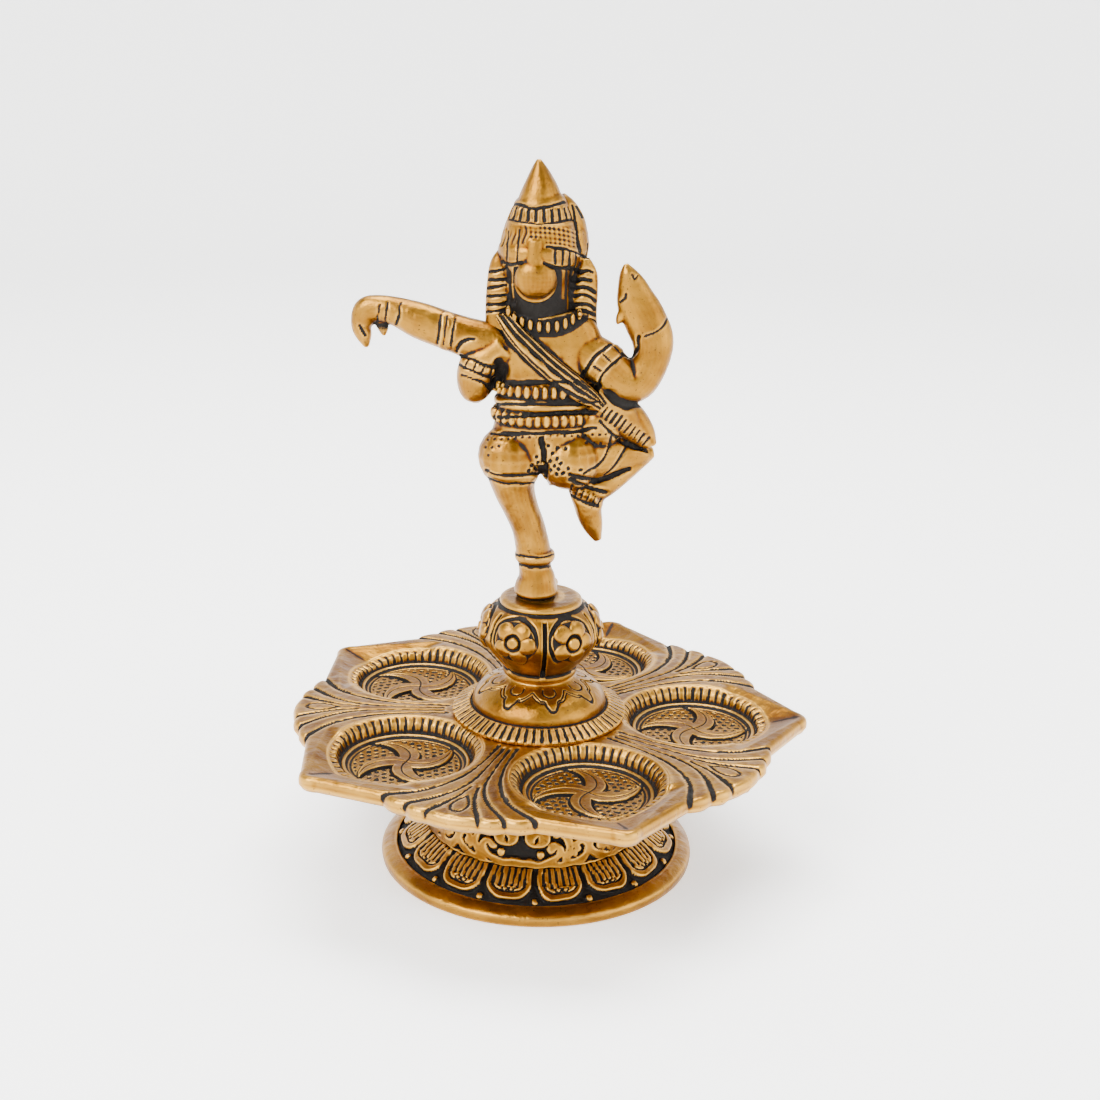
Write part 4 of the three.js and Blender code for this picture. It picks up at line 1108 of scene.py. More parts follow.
def trunk_of_body():
    parts = [limb(BODY), ball((-8.4, -1.2, 37), (8, 7, 8)), ball((6.2, -1.2, 36.4), (8, 7, 7.6)),
             ball((-0.5, 4, 51), (10.6, 7.2, 9)), ball((13.4, 0, 45.4), (6, 5, 6.2)),
             hoop(-0.6, 0.7, 54.6, 10.5, 7.3, 1.0, 2.2), hoop(-0.6, 0.8, 50.9, 11, 7.8, 1.0, 1.3),
             hoop(-0.6, 0.8, 47.5, 11.0, 7.5, 1.0, 2.0),
             hoop(-0.8, 0.7, 43.8, 11.5, 7.6, 0.4, 0.45)]
    parts += beads_on_hoop(-0.6, 0.7, 54.6, 11.7, 8.5, (0.78, 0.9, 1.8), 2.2)
    parts += beads_on_hoop(-0.6, 0.8, 47.5, 12.1, 8.5, (0.84, 0.9, 1.75), 2.15)
    return parts


# %% Arms
REACHING_ARM = [
    (-8, 0, 64, 5.4, 4.8), (-15, 0, 65, 5.2, 4.6), (-22.5, 0, 67.2, 4.7, 4.3),
    (-30.5, 0.3, 69.9, 4.5, 4), (-36, 0.5, 71.9, 3.6, 3.5), (-40.4, 0.7, 72.7, 3.2, 3.1),
    (-43.4, 0.8, 71.8, 3.5, 2.9), (-44.8, 0.8, 68.6, 2.6, 2.5), (-44.2, 0.8, 65.6, 1.9, 1.7),
    (-43.6, 0.8, 63, 0.6, 0.6),
]
REACHING_THUMB = [
    (-40.6, 0.8, 71, 1.7, 1.6), (-39.6, 0.8, 68, 1.4, 1.3), (-39.4, 0.8, 66, 0.5, 0.5),
]
BENT_ARM = [
    (-10, -1, 64.5, 4.6, 4.4), (-15.8, -1, 60, 4.8, 4.6), (-17.3, -0.4, 55.5, 4.4, 4.3),
    (-17, 0.6, 51.6, 3.1, 3.4), (-16.8, 0.8, 49.9, 1, 1.2),
]
LEFT_FOREARM = [
    (-16.8, 0.4, 53.8, 3.7, 3.4), (-14.6, 5.4, 54.6, 3.3, 3), (-9.6, 10.4, 56.4, 2.9, 2.5),
    (-6.4, 12.2, 57.6, 1.5, 1.4),
]
RAISED_ARM = [
    (7, 0, 64, 5.4, 4.8), (13, -0.4, 60.6, 6, 4.8), (18.2, 0, 56.4, 5.6, 4.8),
    (22.4, 0.4, 56.2, 4.9, 4.6), (25.4, 0.5, 61.2, 4.6, 4.2), (25.8, 0.5, 66.4, 5.1, 4),
    (23.8, 0.4, 71.2, 5.2, 3.5), (21.6, 0.3, 75.4, 4.9, 3), (20.3, 0.3, 79.4, 3.7, 2.5),
    (19.2, 0.2, 82.6, 2.2, 1.8), (18.6, 0.2, 84.8, 0.6, 0.6),
]
RAISED_THUMB = [(19.6, 0, 74, 2, 1.6), (17.8, -0.2, 71.8, 1.3, 1.1), (17, -0.2, 70.2, 0.4, 0.4)]
RIGHT_FOREARM = [
    (12.6, 1.4, 58.6, 3.8, 3.4), (12.2, 7.4, 57.6, 3.2, 2.8), (9.4, 11.8, 60.4, 2.6, 2.3),
    (8, 12.6, 64.4, 1.4, 1.2),
]


def arms():
    return [limb(REACHING_ARM), limb(REACHING_THUMB), limb(BENT_ARM), limb(LEFT_FOREARM, "z"),
            limb(RAISED_ARM), limb(RAISED_THUMB), limb(RIGHT_FOREARM, "z")]


body_skin = one_skin("dancer", legs() + trunk_of_body() + sash() + arms(), BODY_VOXEL)

# %% [markdown]
# ## Chasing the figure
# After casting, the maker cuts the ornament with a punch and a graver. Lines are drawn here on a
# sheet that stands behind the figure and is seen from slightly above, because that is how the
# photo shows them: across is x, and up is the height plus a third of the depth. Every vertex that
# faces that sheet takes the nearest line's cut.

# %% Cutting lines, bands and dots
def seen(points):
    return np.column_stack([points[:, 0], points[:, 2] + LOOK * points[:, 1]])


# The way from the figure to the camera, and how much lower a line runs round on the front.
VIEW_SIDE = np.array([0, -0.946, 0.324])
FRONT_DROP = 2.6


def chased(mesh, lines, bands, dots, round_lines):
    """Relief and paint from lines (path, half width, depth, paint), bands (path, half width, rise)
    and punched dots (place, radius, depth, paint). round_lines go round to the front too."""
    p, out = places(mesh), outward(mesh)
    facing = smooth(0.0, 0.25, out @ VIEW_SIDE)
    from_front = smooth(0.3, 0.5, out[:, 1])
    relief, paint = np.zeros(len(p)), np.zeros(len(p))
    uneven = 1 + 0.4 * waver(p, 6, 64)
    sheet = seen(p) + 0.12 * np.column_stack([waver(p, 3.5, 61), waver(p, 3.5, 62)])
    front = np.column_stack([p[:, 0], p[:, 2] - FRONT_DROP]) + 0.12 * waver(p, 3.5, 63)[:, None]

    for path, half, rise in bands:
        relief += rise * smooth(half + 0.25, half - 0.25, distance_to(sheet, stroke(path))) * facing
    passes = [(line, sheet, facing) for line in lines]
    for line in round_lines:
        passes += [(line, sheet, facing), (line, front, from_front)]
    for (path, half, depth, shade), field, weight in passes:
        gap = distance_to(field, stroke(path)) / uneven
        relief -= depth * groove(gap, half) * weight
        paint = np.maximum(paint, shade * smooth(1.5 * half, 0.55 * half, gap) * weight)
    for place, radius, depth, shade in dots:
        gap = flat_reach(sheet - place)
        relief -= depth * smooth(radius * 1.3, radius * 0.4, gap) * facing
        paint = np.maximum(paint, shade * smooth(radius * 1.35, radius * 0.7, gap) * facing)
    return relief, paint


def cross_cuts(path, pitch, half_length, half, depth, shade):
    """Short cuts across a path, as between the studs of a belt."""
    line = spaced(through(path, 60), pitch)
    ahead = np.gradient(line, axis=0)
    ahead /= flat_reach(ahead)[:, None]
    side = np.column_stack([-ahead[:, 1], ahead[:, 0]]) * half_length
    return [([tuple(a - s), tuple(a + s)], half, depth, shade) for a, s in zip(line, side)]


# %% Lines of the body
NECKLACE = [
    (-9.2, 72.2), (-7.0, 70.2), (-4.2, 68.9), (-1.0, 68.3), (2.2, 68.5), (5.2, 69.8), (7.8, 72.0),
]
ARMLET_LEFT = [(-23.7, 70.6), (-24.1, 67.3), (-24.5, 63.9)]
ARMLET_BENT = [(-20.8, 60.2), (-17.8, 58.8), (-15.0, 57.6), (-13.1, 57.0)]
ARMLET_RIGHT = [(10.9, 55.7), (12.3, 58.4), (14.3, 61.0), (17.0, 63.5)]
ANKLET_RIGHT = [(6.8, 28.0), (8.7, 27.2), (11.7, 26.0), (14.0, 25.0)]
PLEAT_MIDDLE = [(14.4, 47.9), (17.8, 45.8), (21.0, 43.6), (25.0, 40.9)]
BODY_LINES = [
    ([(-21.6, 62.2), (-20.3, 64.2), (-18.7, 65.0), (-17.1, 65.3)], 0.42, 0.6, 1.0),
    ([(-20.8, 61.4), (-17.8, 60.1), (-14.7, 58.8), (-12.5, 58.0)], 0.34, 0.5, 1.0),
    ([(-20.7, 59.1), (-17.8, 57.4), (-15.3, 56.5), (-13.2, 56.0)], 0.34, 0.5, 1.0),
    ([(-20.2, 56.4), (-17.7, 55.3), (-14.6, 54.3), (-12.1, 51.9)], 0.3, 0.3, 0.7),
    ([(-11.3, 59.4), (-10.8, 57.2), (-11.6, 54.6)], 1.25, 1.3, 1.0),
    ([(8.9, 56.9), (10.5, 59.8), (12.6, 62.4), (15.6, 64.9)], 0.36, 0.5, 1.0),
    ([(12.5, 54.5), (13.8, 57.1), (15.9, 59.7), (18.7, 62.2)], 0.3, 0.45, 0.9),
    ([(18.6, 62.8), (20.3, 62.4), (21.9, 64.1), (22.1, 66.7)], 0.5, 0.7, 1.0),
    ([(15.2, 52.6), (17.2, 50.3), (20.4, 49.6), (23.0, 50.4)], 0.8, 0.6, 1.0),
    ([(23.8, 67.0), (26.0, 67.9), (28.1, 69.6), (29.0, 71.8)], 0.26, 0.3, 0.55),
    ([(20.0, 82.1), (20.7, 81.0), (21.6, 81.9)], 0.22, 0.25, 0.8),
    ([(17.4, 75.3), (18.6, 76.2), (18.8, 77.2)], 0.26, 0.3, 0.8),
    ([(-45.0, 68.2), (-44.3, 67.1), (-43.7, 66.0)], 0.26, 0.35, 1.0),
    ([(-25.3, 70.9), (-25.7, 67.5), (-26.1, 64.3)], 0.24, 0.3, 0.6),
    ([(-23.9, 70.7), (-24.3, 67.5), (-24.6, 64.1)], 0.2, 0.2, 0.3),
    ([(-22.0, 70.2), (-22.4, 66.9), (-22.9, 63.5)], 0.24, 0.3, 0.6),
    ([(-35.0, 74.1), (-35.3, 71.0), (-36.1, 68.6)], 0.28, 0.32, 0.85),
    ([(-38.2, 73.8), (-38.5, 71.0), (-38.9, 68.9)], 0.22, 0.25, 0.5),
    ([(-40.0, 73.4), (-40.5, 70.9), (-40.8, 69.5)], 0.2, 0.2, 0.35),
    ([(-0.8, 40.6), (-0.1, 37.5), (0.1, 34.2), (0.0, 30.5)], 0.75, 1.2, 1.0),
    ([(16.5, 41.6), (15.6, 38.3), (13.8, 35.0), (9.9, 32.0)], 0.3, 0.4, 0.7),
    ([(20.3, 40.0), (18.8, 36.7), (17.3, 34.2), (15.0, 31.9)], 0.3, 0.4, 0.6),
    ([(6.3, 31.5), (9.9, 30.8), (13.9, 30.8), (17.8, 32.2), (21.3, 33.9)], 0.5, 0.8, 1.0),
    ([(6.6, 30.3), (9.2, 29.3), (12.4, 28.5), (15.6, 27.4)], 0.42, 0.6, 1.0),
    ([(6.8, 26.8), (8.5, 25.7), (11.3, 24.5), (13.7, 24.0)], 0.36, 0.5, 1.0),
    ([(22.7, 39.3), (25.5, 38.9)], 0.3, 0.4, 1.0),
    ([(13.4, 45.6), (16.7, 42.4), (20.7, 40.0), (25.5, 38.6)], 0.34, 0.5, 0.9),
    ([(-17.4, 39.4), (-15.9, 42.2), (-13.6, 44.3)], 0.4, 0.4, 0.9),
]
BODY_LINES += [(path, 0.42, 0.6, 1.0) for path in SASH_LINES[1:3]]
BODY_LINES += [(SASH_LINES[0], 0.6, 0.5, 1.0), (SASH_LINES[3], 0.42, 0.4, 0.9)]
BODY_LINES += cross_cuts(ANKLET_RIGHT, 1.45, 0.9, 0.22, 0.3, 1.0)
BODY_LINES += cross_cuts(PLEAT_MIDDLE, 1.35, 1.3, 0.26, 0.45, 0.75)
BODY_LINES += cross_cuts(ARMLET_BENT, 2.3, 1.0, 0.26, 0.35, 0.8)
BODY_LINES += cross_cuts(ARMLET_RIGHT, 2.9, 1.4, 0.22, 0.3, 0.7)
ROUND_LINES = [
    ([(-14.0, 54.0), (-9.6, 54.3), (-2.0, 54.6), (7.8, 54.7), (13.0, 54.4)], 0.62, 0.4, 1.0),
    ([(-13.6, 49.5), (-8.0, 49.2), (-0.8, 49.2), (6.0, 49.5), (13.5, 50.0)], 0.5, 0.5, 1.0),
    ([(-13.0, 46.0), (-7.6, 46.0), (-2.0, 46.6), (4.2, 47.2), (12.6, 47.8)], 0.42, 0.5, 1.0),
    ([(-13.0, 42.0), (-6.3, 41.8), (-0.0, 42.0), (6.2, 42.6), (12.6, 43.8)], 0.42, 0.5, 1.0),
    ([(-14.2, 32.5), (-10.7, 31.3), (-6.7, 31.2), (-1.2, 32.1)], 0.28, 0.35, 0.6),
    ([(-13.6, 30.6), (-9.9, 29.3), (-5.9, 29.2), (-1.5, 29.8)], 0.28, 0.35, 0.6),
    ([(-7.0, 10.9), (-3.2, 10.2), (0.0, 10.3), (3.0, 11.1)], 0.28, 0.35, 0.7),
    ([(-7.0, 8.4), (-2.7, 7.6), (0.5, 7.6), (3.9, 8.4)], 0.28, 0.35, 0.7),
]
BODY_BANDS = [(ARMLET_LEFT, 1.5, 0.3), (ARMLET_BENT, 1.1, 0.4), (ARMLET_RIGHT, 1.7, 0.35),
              ([(-12.9, 31.5), (-8.0, 30.2), (-2.0, 30.8)], 0.9, 0.35)]
SEAT_DOTS = [
    (1.0, 38.8), (1.9, 37.0), (3.3, 35.8), (1.5, 35.1), (4.3, 34.5), (2.7, 33.9), (1.6, 32.8),
    (3.7, 33.1), (5.9, 33.1), (3.2, 31.8), (4.7, 31.9), (9.1, 33.0), (3.2, 38.4), (5.2, 38.3),
    (-1.7, 36.1), (-1.5, 34.6), (-3.0, 33.8), (-2.0, 33.2), (-3.6, 32.5),
]
BODY_DOTS = [(place, 0.46, 0.55, 1.0) for place in SEAT_DOTS]
HEM_DOTS = spaced(through([(-13.8, 40.3), (-3.8, 41.0), (6.3, 41.7), (15.1, 42.2)], 30), 1.7)
HIP_DOTS = [(-14.3, 38.5), (-12.6, 38.3), (-11.0, 38.6), (-13.5, 36.4), (10.3, 40.1), (12.1, 40.0),
            (13.8, 40.2)]
BODY_DOTS += [(place, 0.4, 0.2, 0.2) for place in [*HEM_DOTS, *HIP_DOTS]]


def dark_places(points, spots):
    """Paint of round dark places (x, seen height, radius)."""
    flat = seen(points)
    return np.maximum.reduce([smooth(radius * 1.4, radius * 0.6, flat_reach(flat - [x, w]))
                              for x, w, radius in spots])


THUMB_X, THUMB_SPAN = -39.7, (64, 69.3)


def body_carving(mesh):
    relief, paint = chased(mesh, BODY_LINES, BODY_BANDS, BODY_DOTS, ROUND_LINES)
    p = places(mesh)
    low, high = THUMB_SPAN
    thumb = (np.abs(p[:, 0] - THUMB_X) < 1.6) & (p[:, 2] > low) & (p[:, 2] < high)
    foot_groove = smooth(1.3, 0.9, p[:, 2])
    collar_shade = smooth(2.6, 2.2, distance_to(seen(p), through(NECKLACE, 30)))
    collar_shade = collar_shade * (outward(mesh)[:, 1] < 0)
    spots = dark_places(p, [(20.6, 62.9, 1.1), (-11.3, 57.0, 1.5)])
    return relief, np.maximum.reduce([paint, 0.95 * thumb, foot_groove, collar_shade, spots])


pressed_piece("dancer", "dancing_figure", body_skin, body_carving(body_skin), BUD_TOP)

# %% [markdown]
# ## Head, crown and ears
# The head is a finer skin of its own, because its ornament is the smallest on the lamp: a cone
# with a bead ring, a cap carved like basketwork, a row of studs, a smooth round boss at the back
# and ribbed ears beside it. The necklace belongs to it as well.

# %% Solids of the head
NECK = [
    (-1.5, 0.4, 66, 7.4, 5.4), (-1.5, 0.5, 72, 7.8, 5.6), (-1.6, 0.6, 77, 8.2, 6.4),
    (-2.1, 0.6, 81, 8.6, 7.4),
]
CAP = [
    (-2, 0.5, 80, 8.0, 7.2), (-2, 0.6, 83.4, 9.0, 8.0), (-2, 0.6, 86.5, 9.6, 8.4),
    (-2, 0.6, 89.5, 9.4, 8.1), (-2, 0.4, 93, 8.6, 7.3), (-2, 0.2, 97, 7.1, 6.2),
    (-2.1, 0, 99.8, 5.8, 5.2), (-2.2, 0, 100.6, 4.4, 4.0),
]
CONE = [
    (-2.1, 0, 97.4, 5.6, 5.2), (-2.1, 0, 98.4, 5.7, 5.3), (-2.1, 0, 102, 4.5, 4.3),
    (-2.3, 0, 105.2, 2.9, 2.9), (-2.5, 0, 107.6, 1.5, 1.5), (-2.6, 0, 109, 0.5, 0.5),
]
LOCK = [
    (2.0, 1.6, 99.4, 2.4, 2.4), (4.2, 2.4, 96.6, 3.0, 3), (6.2, 3, 92.5, 3.0, 3.2),
    (7.0, 3.2, 87, 2.2, 2.6),
]
TRUNK = [
    (-1.8, 6, 81, 4.4, 4.2), (-1.6, 9.4, 76.4, 3.7, 3.5), (-0.6, 11.4, 70.4, 2.9, 2.9),
    (2.6, 11.8, 65.2, 2.4, 2.3), (6.6, 11.4, 63.4, 1.7, 1.7), (8.8, 11, 65.4, 0.9, 0.9),
]
LEFT_EAR = [
    (-10.6, 0.2, 66.5, 4.2, 2.3), (-11.6, 0.4, 72, 3.3, 2.3), (-11.6, 0.4, 78, 3.1, 2.2),
    (-11.4, 0.6, 84, 2.5, 1.9), (-10.6, 0.6, 87.8, 1, 1),
]
RIGHT_EAR = [
    (8.4, 0.2, 66.5, 4.4, 2.3), (8.8, 0.4, 72, 3.3, 2.3), (9.1, 0.4, 78, 3.1, 2.2),
    (9.3, 0.6, 82.4, 2.6, 1.9), (8.9, 0.6, 86, 1, 1),
]
EYE_MIDDLE, EYE_REACH, EYE_HEIGHT = -1.9, 3.5, 83.2
TUSK_MIDDLE = -1.8
CHAIN = spaced(through(NECKLACE, 60), 2.1)
BOSS = (-2.8, 82.1)
BOSS_TOP = [(BOSS[0], -6.6, BOSS[1] + 2, 2.6, 2.2), (-2.9, -6.9, 88, 2.1, 1.3),
            (-2.9, -6.7, 91, 1.6, 0.8)]
TUSK = [(3.4, 8, 76.4, 1.2, 1.2), (4.6, 10.4, 74.8, 0.9, 0.9), (5, 12.2, 74.8, 0.4, 0.4)]
BROW = [(1.6, 8.3, 84.8, 0.5, 0.5), (3.6, 8.3, 85.3, 0.55, 0.5), (5.4, 7.0, 84.4, 0.4, 0.4)]


def paired(stations, middle, side, sides):
    """The left (-1) or right (1) one of a pair, from stations to the right of its middle."""
    turned = [(middle + side * x, *rest) for x, *rest in stations]
    return limb(turned, "z", sides)


def head_solids():
    parts = [limb(solid) for solid in (NECK, CONE, LOCK, TRUNK, LEFT_EAR, RIGHT_EAR, BOSS_TOP)]
    parts += [limb(CAP, sides=40),
             ball((1.6, 3.2, 88.6), (8.3, 6.2, 10.2)), ball((-2.0, 4.2, 84), (7.6, 5.0, 6.2)),
             ball((BOSS[0], -5.9, BOSS[1]), (5.1, 3.5, 4.9), 28),
             hoop(-2, 0.6, 87.6, 9.1, 7.7, 0.9, 1.7), hoop(-2, 0.1, 96.8, 6.2, 5.5, 0.7, 1.5),
             hoop(-2, 0.2, 94.4, 7.6, 6.5, 0.5, 0.5)]
    for side in (-1, 1):
        parts += [ball((EYE_MIDDLE + side * EYE_REACH, 8.2, EYE_HEIGHT), (1.25, 0.9, 0.75), 14),
                  paired(TUSK, TUSK_MIDDLE, side, 14), paired(BROW, EYE_MIDDLE, side, 10)]
    for x, w in CHAIN:
        depth = -5.7 + 0.028 * (x + 1) ** 2
        parts.append(ball((x, depth, w - LOOK * depth), (0.66, 0.8, 1.5), 12))
        parts.append(ball((x, 5.6 - 0.03 * (x + 1) ** 2, w + 0.4), (0.66, 0.75, 1.4), 12))
    return parts


head_skin = one_skin("dancer_head", head_solids(), HEAD_VOXEL)

# %% Lines of the head
EAR_CUTS = [
    [(-14.6, 82.2), (-12.4, 82.2), (-10.4, 82.6)], [(-14.6, 80.2), (-12.4, 80.0), (-10.2, 80.2)],
    [(-15, 78.3), (-12.6, 78.3), (-10.0, 78.7)], [(-15, 76.3), (-12.6, 76.1), (-9.9, 76.4)],
    [(-15.2, 74.2), (-12.4, 74.0), (-9.7, 74.4)], [(-14.6, 72.4), (-12.0, 72.4), (-9.4, 73.2)],
    [(7.9, 82.5), (9.4, 82.7), (10.8, 82.4)], [(6.7, 80.5), (8.3, 80.8), (10.4, 80.4)],
    [(6.6, 78.7), (8.7, 78.7), (10.3, 78.2), (11.4, 77.6)],
    [(6.7, 76.6), (8.7, 76.8), (10.4, 76.3), (11.4, 75.6)],
    [(6.7, 74.5), (8.8, 74.7), (10.5, 74.3), (11.5, 73.7)],
    [(6.9, 72.5), (8.8, 72.9), (11.6, 72.3)], [(7.5, 70.7), (10.0, 70.8), (12.4, 70.5)],
]
HEAD_LINES = [(path, 0.36 if path[0][0] < 0 else 0.5, 0.6, 1.0) for path in EAR_CUTS]
HEAD_LINES += [
    ([(5.5, 98.5), (6.1, 96.0), (6.6, 92.5), (7.0, 89.8), (7.6, 87.2)], 0.34, 0.5, 1.0),
    ([(-0.4, 87.1), (0.8, 87.1), (4.9, 86.9), (9.6, 86.2)], 0.3, 0.45, 1.0),
    ([(-0.8, 83.2), (0.9, 82.5), (2.5, 82.3), (4.7, 82.6), (6.9, 83.0)], 0.36, 0.5, 1.0),
    ([(-10.8, 84.4), (-10.1, 83.6), (-8.7, 83.1), (-6.3, 83.3)], 0.36, 0.5, 1.0),
    ([(-10.2, 83.1), (-9.4, 80.9), (-9.1, 78.5), (-8.9, 75.7), (-8.3, 74.3)], 0.5, 0.5, 1.0),
    ([(6.4, 83.0), (6.1, 80.0), (6.0, 76.0), (6.3, 72.5)], 0.4, 0.5, 1.0),
]
STUDS = [1.8, 3.6, 5.2, 6.7]
HEAD_LINES += [([(x, 83.2), (x, 86.7)], 0.26, 0.35, 0.95) for x in STUDS]
HEAD_LINES += [([(x, 83.4), (x + 0.5, 91.4)], 0.24, 0.3, 0.5) for x in (-10.0, -7.3)]
HEAD_ROUND = [
    ([(-8.4, 98.4), (-4.9, 96.7), (-2.4, 96.4), (0.4, 97.0), (3.6, 98.6)], 0.42, 0.45, 1.0),
    ([(-9.6, 94.4), (-5.9, 93.0), (-2.4, 92.6), (1.4, 93.1), (5.6, 94.8)], 0.3, 0.3, 0.4),
]


def head_carving(mesh):
    """The cap's basketwork, the slits of its two rings and the black hollow round the boss."""
    p, out = places(mesh), outward(mesh)
    flat = seen(p)
    x, w = flat.T
    turn = np.arctan2(p[:, 1], p[:, 0] + 2)
    cap = within(w, (87.4, 88.2), (92.6, 92.0)) * (np.abs(p[:, 0] + 2) < 9.6) * smooth(6.9, 6.3, x)
    strip = near(x + 2.9, 2.0, 2.6) * smooth(89.6, 88.6, w)
    weave = np.sin((x + w) * TURN / 2.1) * np.sin((x - 0.9 * w) * TURN / 2.3)
    strands = np.sin(turn * 34 + 1.3 * np.sin(w * 1.3))
    left = smooth(-3.6, -5.2, x)
    pattern = (weave * (1 - left) + 0.8 * strands * left) * cap * (1 - strip)
    pattern = pattern * (0.55 + 0.45 * waver(p, 5, 65))
    relief = 0.22 * pattern
    paint = 0.3 * smooth(0.1, -0.7, pattern)
    ring_slit = smooth(0.1, -0.6, np.cos(turn * 20))
    ring = within(p[:, 2], (95.0, 95.5), (98.4, 98.0))
    stud_slit = smooth(0.0, -0.7, np.cos(turn * 26)) * (p[:, 1] > 1)
    stud = within(p[:, 2], (85.8, 86.2), (89.5, 89.1))
    relief = relief - 0.4 * ring_slit * ring - 0.35 * stud_slit * stud
    ring_paint = ring_slit * ring * (0.55 + 0.45 * smooth(0, 3, x))
    paint = np.maximum.reduce([paint, ring_paint, stud_slit * stud])
    back = out[:, 1] < 0.3
    boss_gap = np.hypot(x - BOSS[0], w - 79.3)
    hollow = back * smooth(5.0, 5.5, boss_gap) * smooth(82.8, 82.2, w)
    hollow = hollow * within(x, (-8.4, -7.9), (6.4, 5.9))
    hollow = hollow * smooth(69.5, 70.4, w - 0.035 * (x + 1) ** 2)
    bead = np.minimum.reduce([np.hypot((x - a) / 0.66, (w - b) / 1.35) for a, b in CHAIN])
    # Painted shade: a dark band round the necklace, between and behind its beads.
    necklace_shade = smooth(2.6, 2.2, distance_to(flat, through(NECKLACE, 30)))
    paint = np.maximum(paint, back * necklace_shade * smooth(0.8, 1.1, bead))
    hair = near(x - 4.1, 0.25, 0.55) * smooth(74.5, 75.5, w) + near(x - 5.4, 0.2, 0.4)
    paint = np.maximum(paint, hollow * (1 - 0.8 * np.clip(hair, 0, 1)))
    eye_gap = np.hypot(np.abs(p[:, 0] - EYE_MIDDLE) - EYE_REACH, p[:, 2] - EYE_HEIGHT)
    paint = np.maximum(paint, 0.7 * smooth(0.8, 0.5, eye_gap) * (p[:, 1] > 7))
    return relief - 0.5 * hollow, paint


head_relief, head_paint = chased(head_skin, HEAD_LINES, [], [], HEAD_ROUND)
carved, carved_paint = head_carving(head_skin)
carving = (head_relief + carved, np.maximum(head_paint, carved_paint))
pressed_piece("dancer_head", "dancing_figure", head_skin, carving, BUD_TOP)

# %% [markdown]
# ## The stud and its fixing
# The stud, nut and washers stay the frame's own solids, hidden inside the lamp and under the foot.
# They are steel with a bright zinc plating: bluish, and softer in shine than polished metal,
# because the plating is made of crystals too small to see one by one.

# %% Zinc-plated steel
CRYSTAL = 0.4
LATHE_LINE = 0.15


def zinc_plated_steel():
    material, tree, where = fresh_material("zinc_plated_turned_steel")
    # Crystals tint the plating, and fine lathe lines run round the axis.
    cells = {"Scale": 1 / (CRYSTAL * MM), "Vector": where}
    crystal = add(tree, "ShaderNodeTexVoronoi", cells)
    tint = ramp_of(tree, crystal.outputs["Distance"], [(0.0, "#b9bdc2"), (1.0, "#c9cdd0")])
    rings = {"wave_type": "RINGS", "rings_direction": "Z", "Scale": 1 / (LATHE_LINE * MM) / 20,
             "Distortion": 1.0, "Vector": where}
    lathe = add(tree, "ShaderNodeTexWave", rings).outputs["Fac"]
    surface(tree, {"Metallic": 1.0, "Roughness": 0.36, "Base Color": tint,
                   "Normal": bumped(tree, lathe, 0.2, 0.02)})
    return material


plated = zinc_plated_steel()
for fastener in ("tie_rod", "flat_washer", "spring_washer", "hex_nut"):
    bpy.data.objects[fastener].material_slots[0].material = plated
print("finish:", plated.name)

# %% [markdown]
# ## Floor, light and camera
# The floor is a plain pale sheet that curves up on all sides, as in a light tent, so it has no
# horizon line from any side. One big soft light hangs above and to the left, one overhead, and a
# weaker one fills from the right. Polished metal shows its surroundings, so the pale sheet and
# the big lights are what the gold reflects. The camera stands where the photographer's did.

# %% Floor
FLOOR_HALF = 1.6
FLAT_RADIUS = 0.9
CURVE = 1.9


def studio_floor():
    bm = bmesh.new()
    bmesh.ops.create_grid(bm, x_segments=80, y_segments=80, size=FLOOR_HALF)
    for vert in bm.verts:
        rise = max(0.0, math.hypot(vert.co.x, vert.co.y) - FLAT_RADIUS)
        vert.co.z = CURVE * rise * rise
    mesh = mesh_of(bm, "studio_floor")
    mesh.shade_smooth()
    # Matt paper, lit from behind as a light tent is.
    paper, tree, _ = fresh_material("matt_paper_backdrop")
    surface(tree, {"Base Color": "#fbfbfa", "Roughness": 0.9, "Emission Color": "#ffffff",
                   "Emission Strength": 0.6})
    mesh.materials.append(paper)
    floor = bpy.data.objects.new("studio_floor", mesh)
    bpy.context.scene.collection.objects.link(floor)


studio_floor()

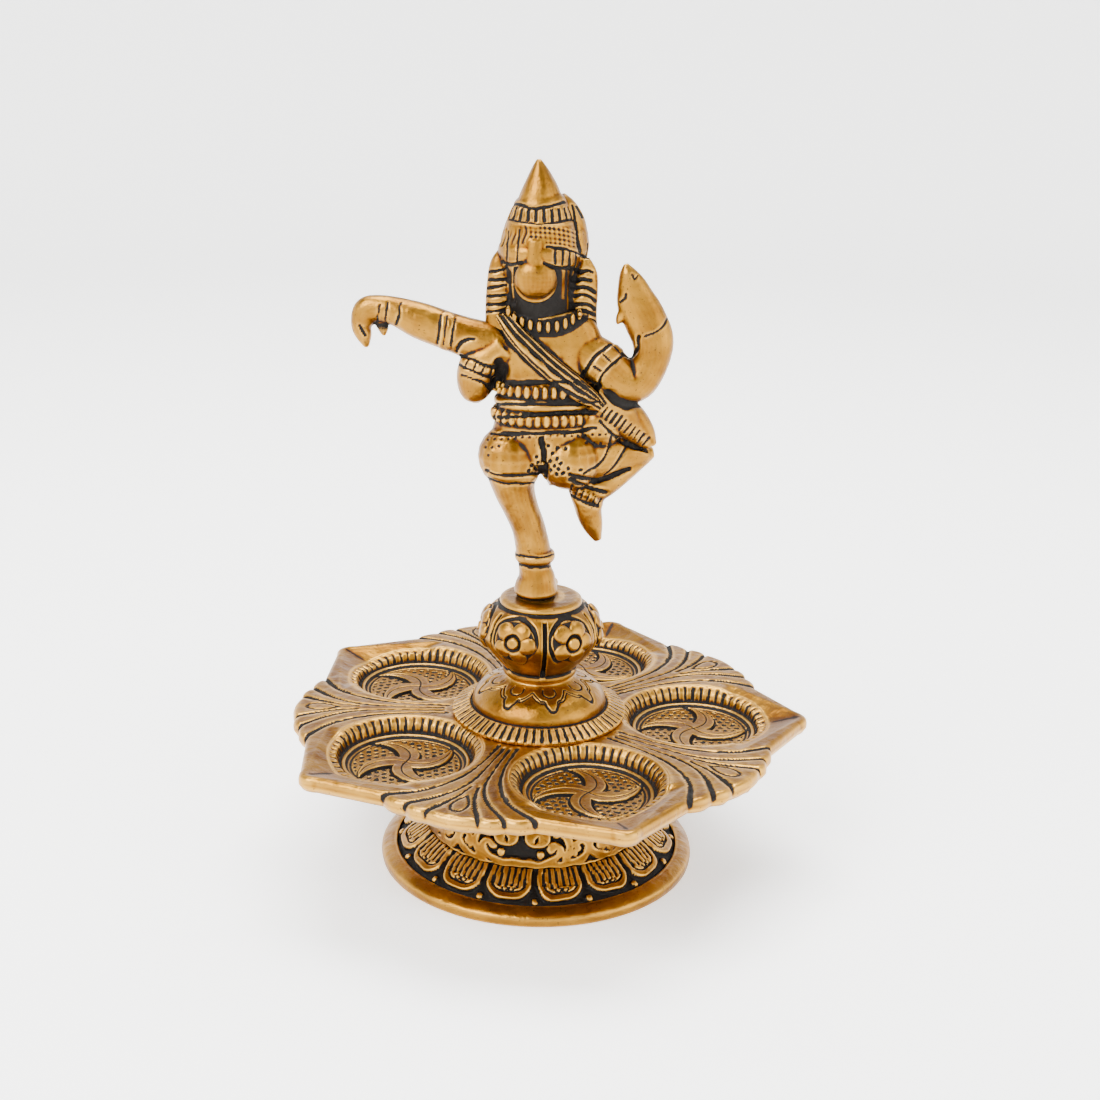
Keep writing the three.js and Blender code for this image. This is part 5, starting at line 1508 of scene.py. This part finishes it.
# %% Light
def soft_light(name, place, aim, size, watts):
    lamp = bpy.data.lights.new(name, "AREA")
    lamp.shape = "RECTANGLE"
    lamp.size, lamp.size_y = size
    lamp.energy = watts
    light = bpy.data.objects.new(name, lamp)
    light.location = place
    light.rotation_euler = (Vector(aim) - Vector(place)).to_track_quat("-Z", "Y").to_euler()
    bpy.context.scene.collection.objects.link(light)


lamp_middle = (STEM_X * MM, 0, 0.08)
soft_light("key_softbox", (-0.55, -0.55, 0.85), lamp_middle, (0.7, 0.7), 26)
soft_light("fill_softbox", (0.75, -0.35, 0.45), lamp_middle, (0.7, 0.9), 6)
soft_light("top_softbox", (0.05, 0.25, 1.05), lamp_middle, (0.9, 0.6), 30)
world = bpy.data.worlds.new("pale_studio")
world.use_nodes = True
sky = world.node_tree.nodes["Background"].inputs
sky["Color"].default_value = linear("#f6f5f3")
sky["Strength"].default_value = 0.25
bpy.context.scene.world = world

# %% Camera
VIEW_TILT = math.radians(18.922)
VIEW_DISTANCE = 452.322
VIEW_HEIGHT = 84.306
VIEW_FOCUS = 1796.132
IMAGE_SIZE = 1100
AIM_PIXEL = (542.088, 549.575)
VIEW_ROLL = math.radians(1.247)

forward = Vector((0, math.cos(VIEW_TILT), -math.sin(VIEW_TILT)))
right = Vector((1, 0, 0))
up = right.cross(forward)
stand = Vector((STEM_X, 0, VIEW_HEIGHT)) - forward * VIEW_DISTANCE
stand += right * ((IMAGE_SIZE / 2 - AIM_PIXEL[0]) * VIEW_DISTANCE / VIEW_FOCUS)
stand += up * ((AIM_PIXEL[1] - IMAGE_SIZE / 2) * VIEW_DISTANCE / VIEW_FOCUS)
axes = Matrix((right, up, -forward)).transposed() @ Matrix.Rotation(VIEW_ROLL, 3, "Z")
lens = bpy.data.cameras.new("photo_view")
lens.sensor_width = 36
lens.lens = VIEW_FOCUS * lens.sensor_width / IMAGE_SIZE
lens.clip_start = 0.01
camera = bpy.data.objects.new("photo_view", lens)
camera.matrix_world = Matrix.Translation(stand * MM) @ axes.to_4x4()
bpy.context.scene.collection.objects.link(camera)
bpy.context.scene.camera = camera
print(f"camera: {lens.lens:.1f} mm lens, {VIEW_DISTANCE:.0f} mm from the stem")

# %% Update the scene
bpy.context.view_layer.update()
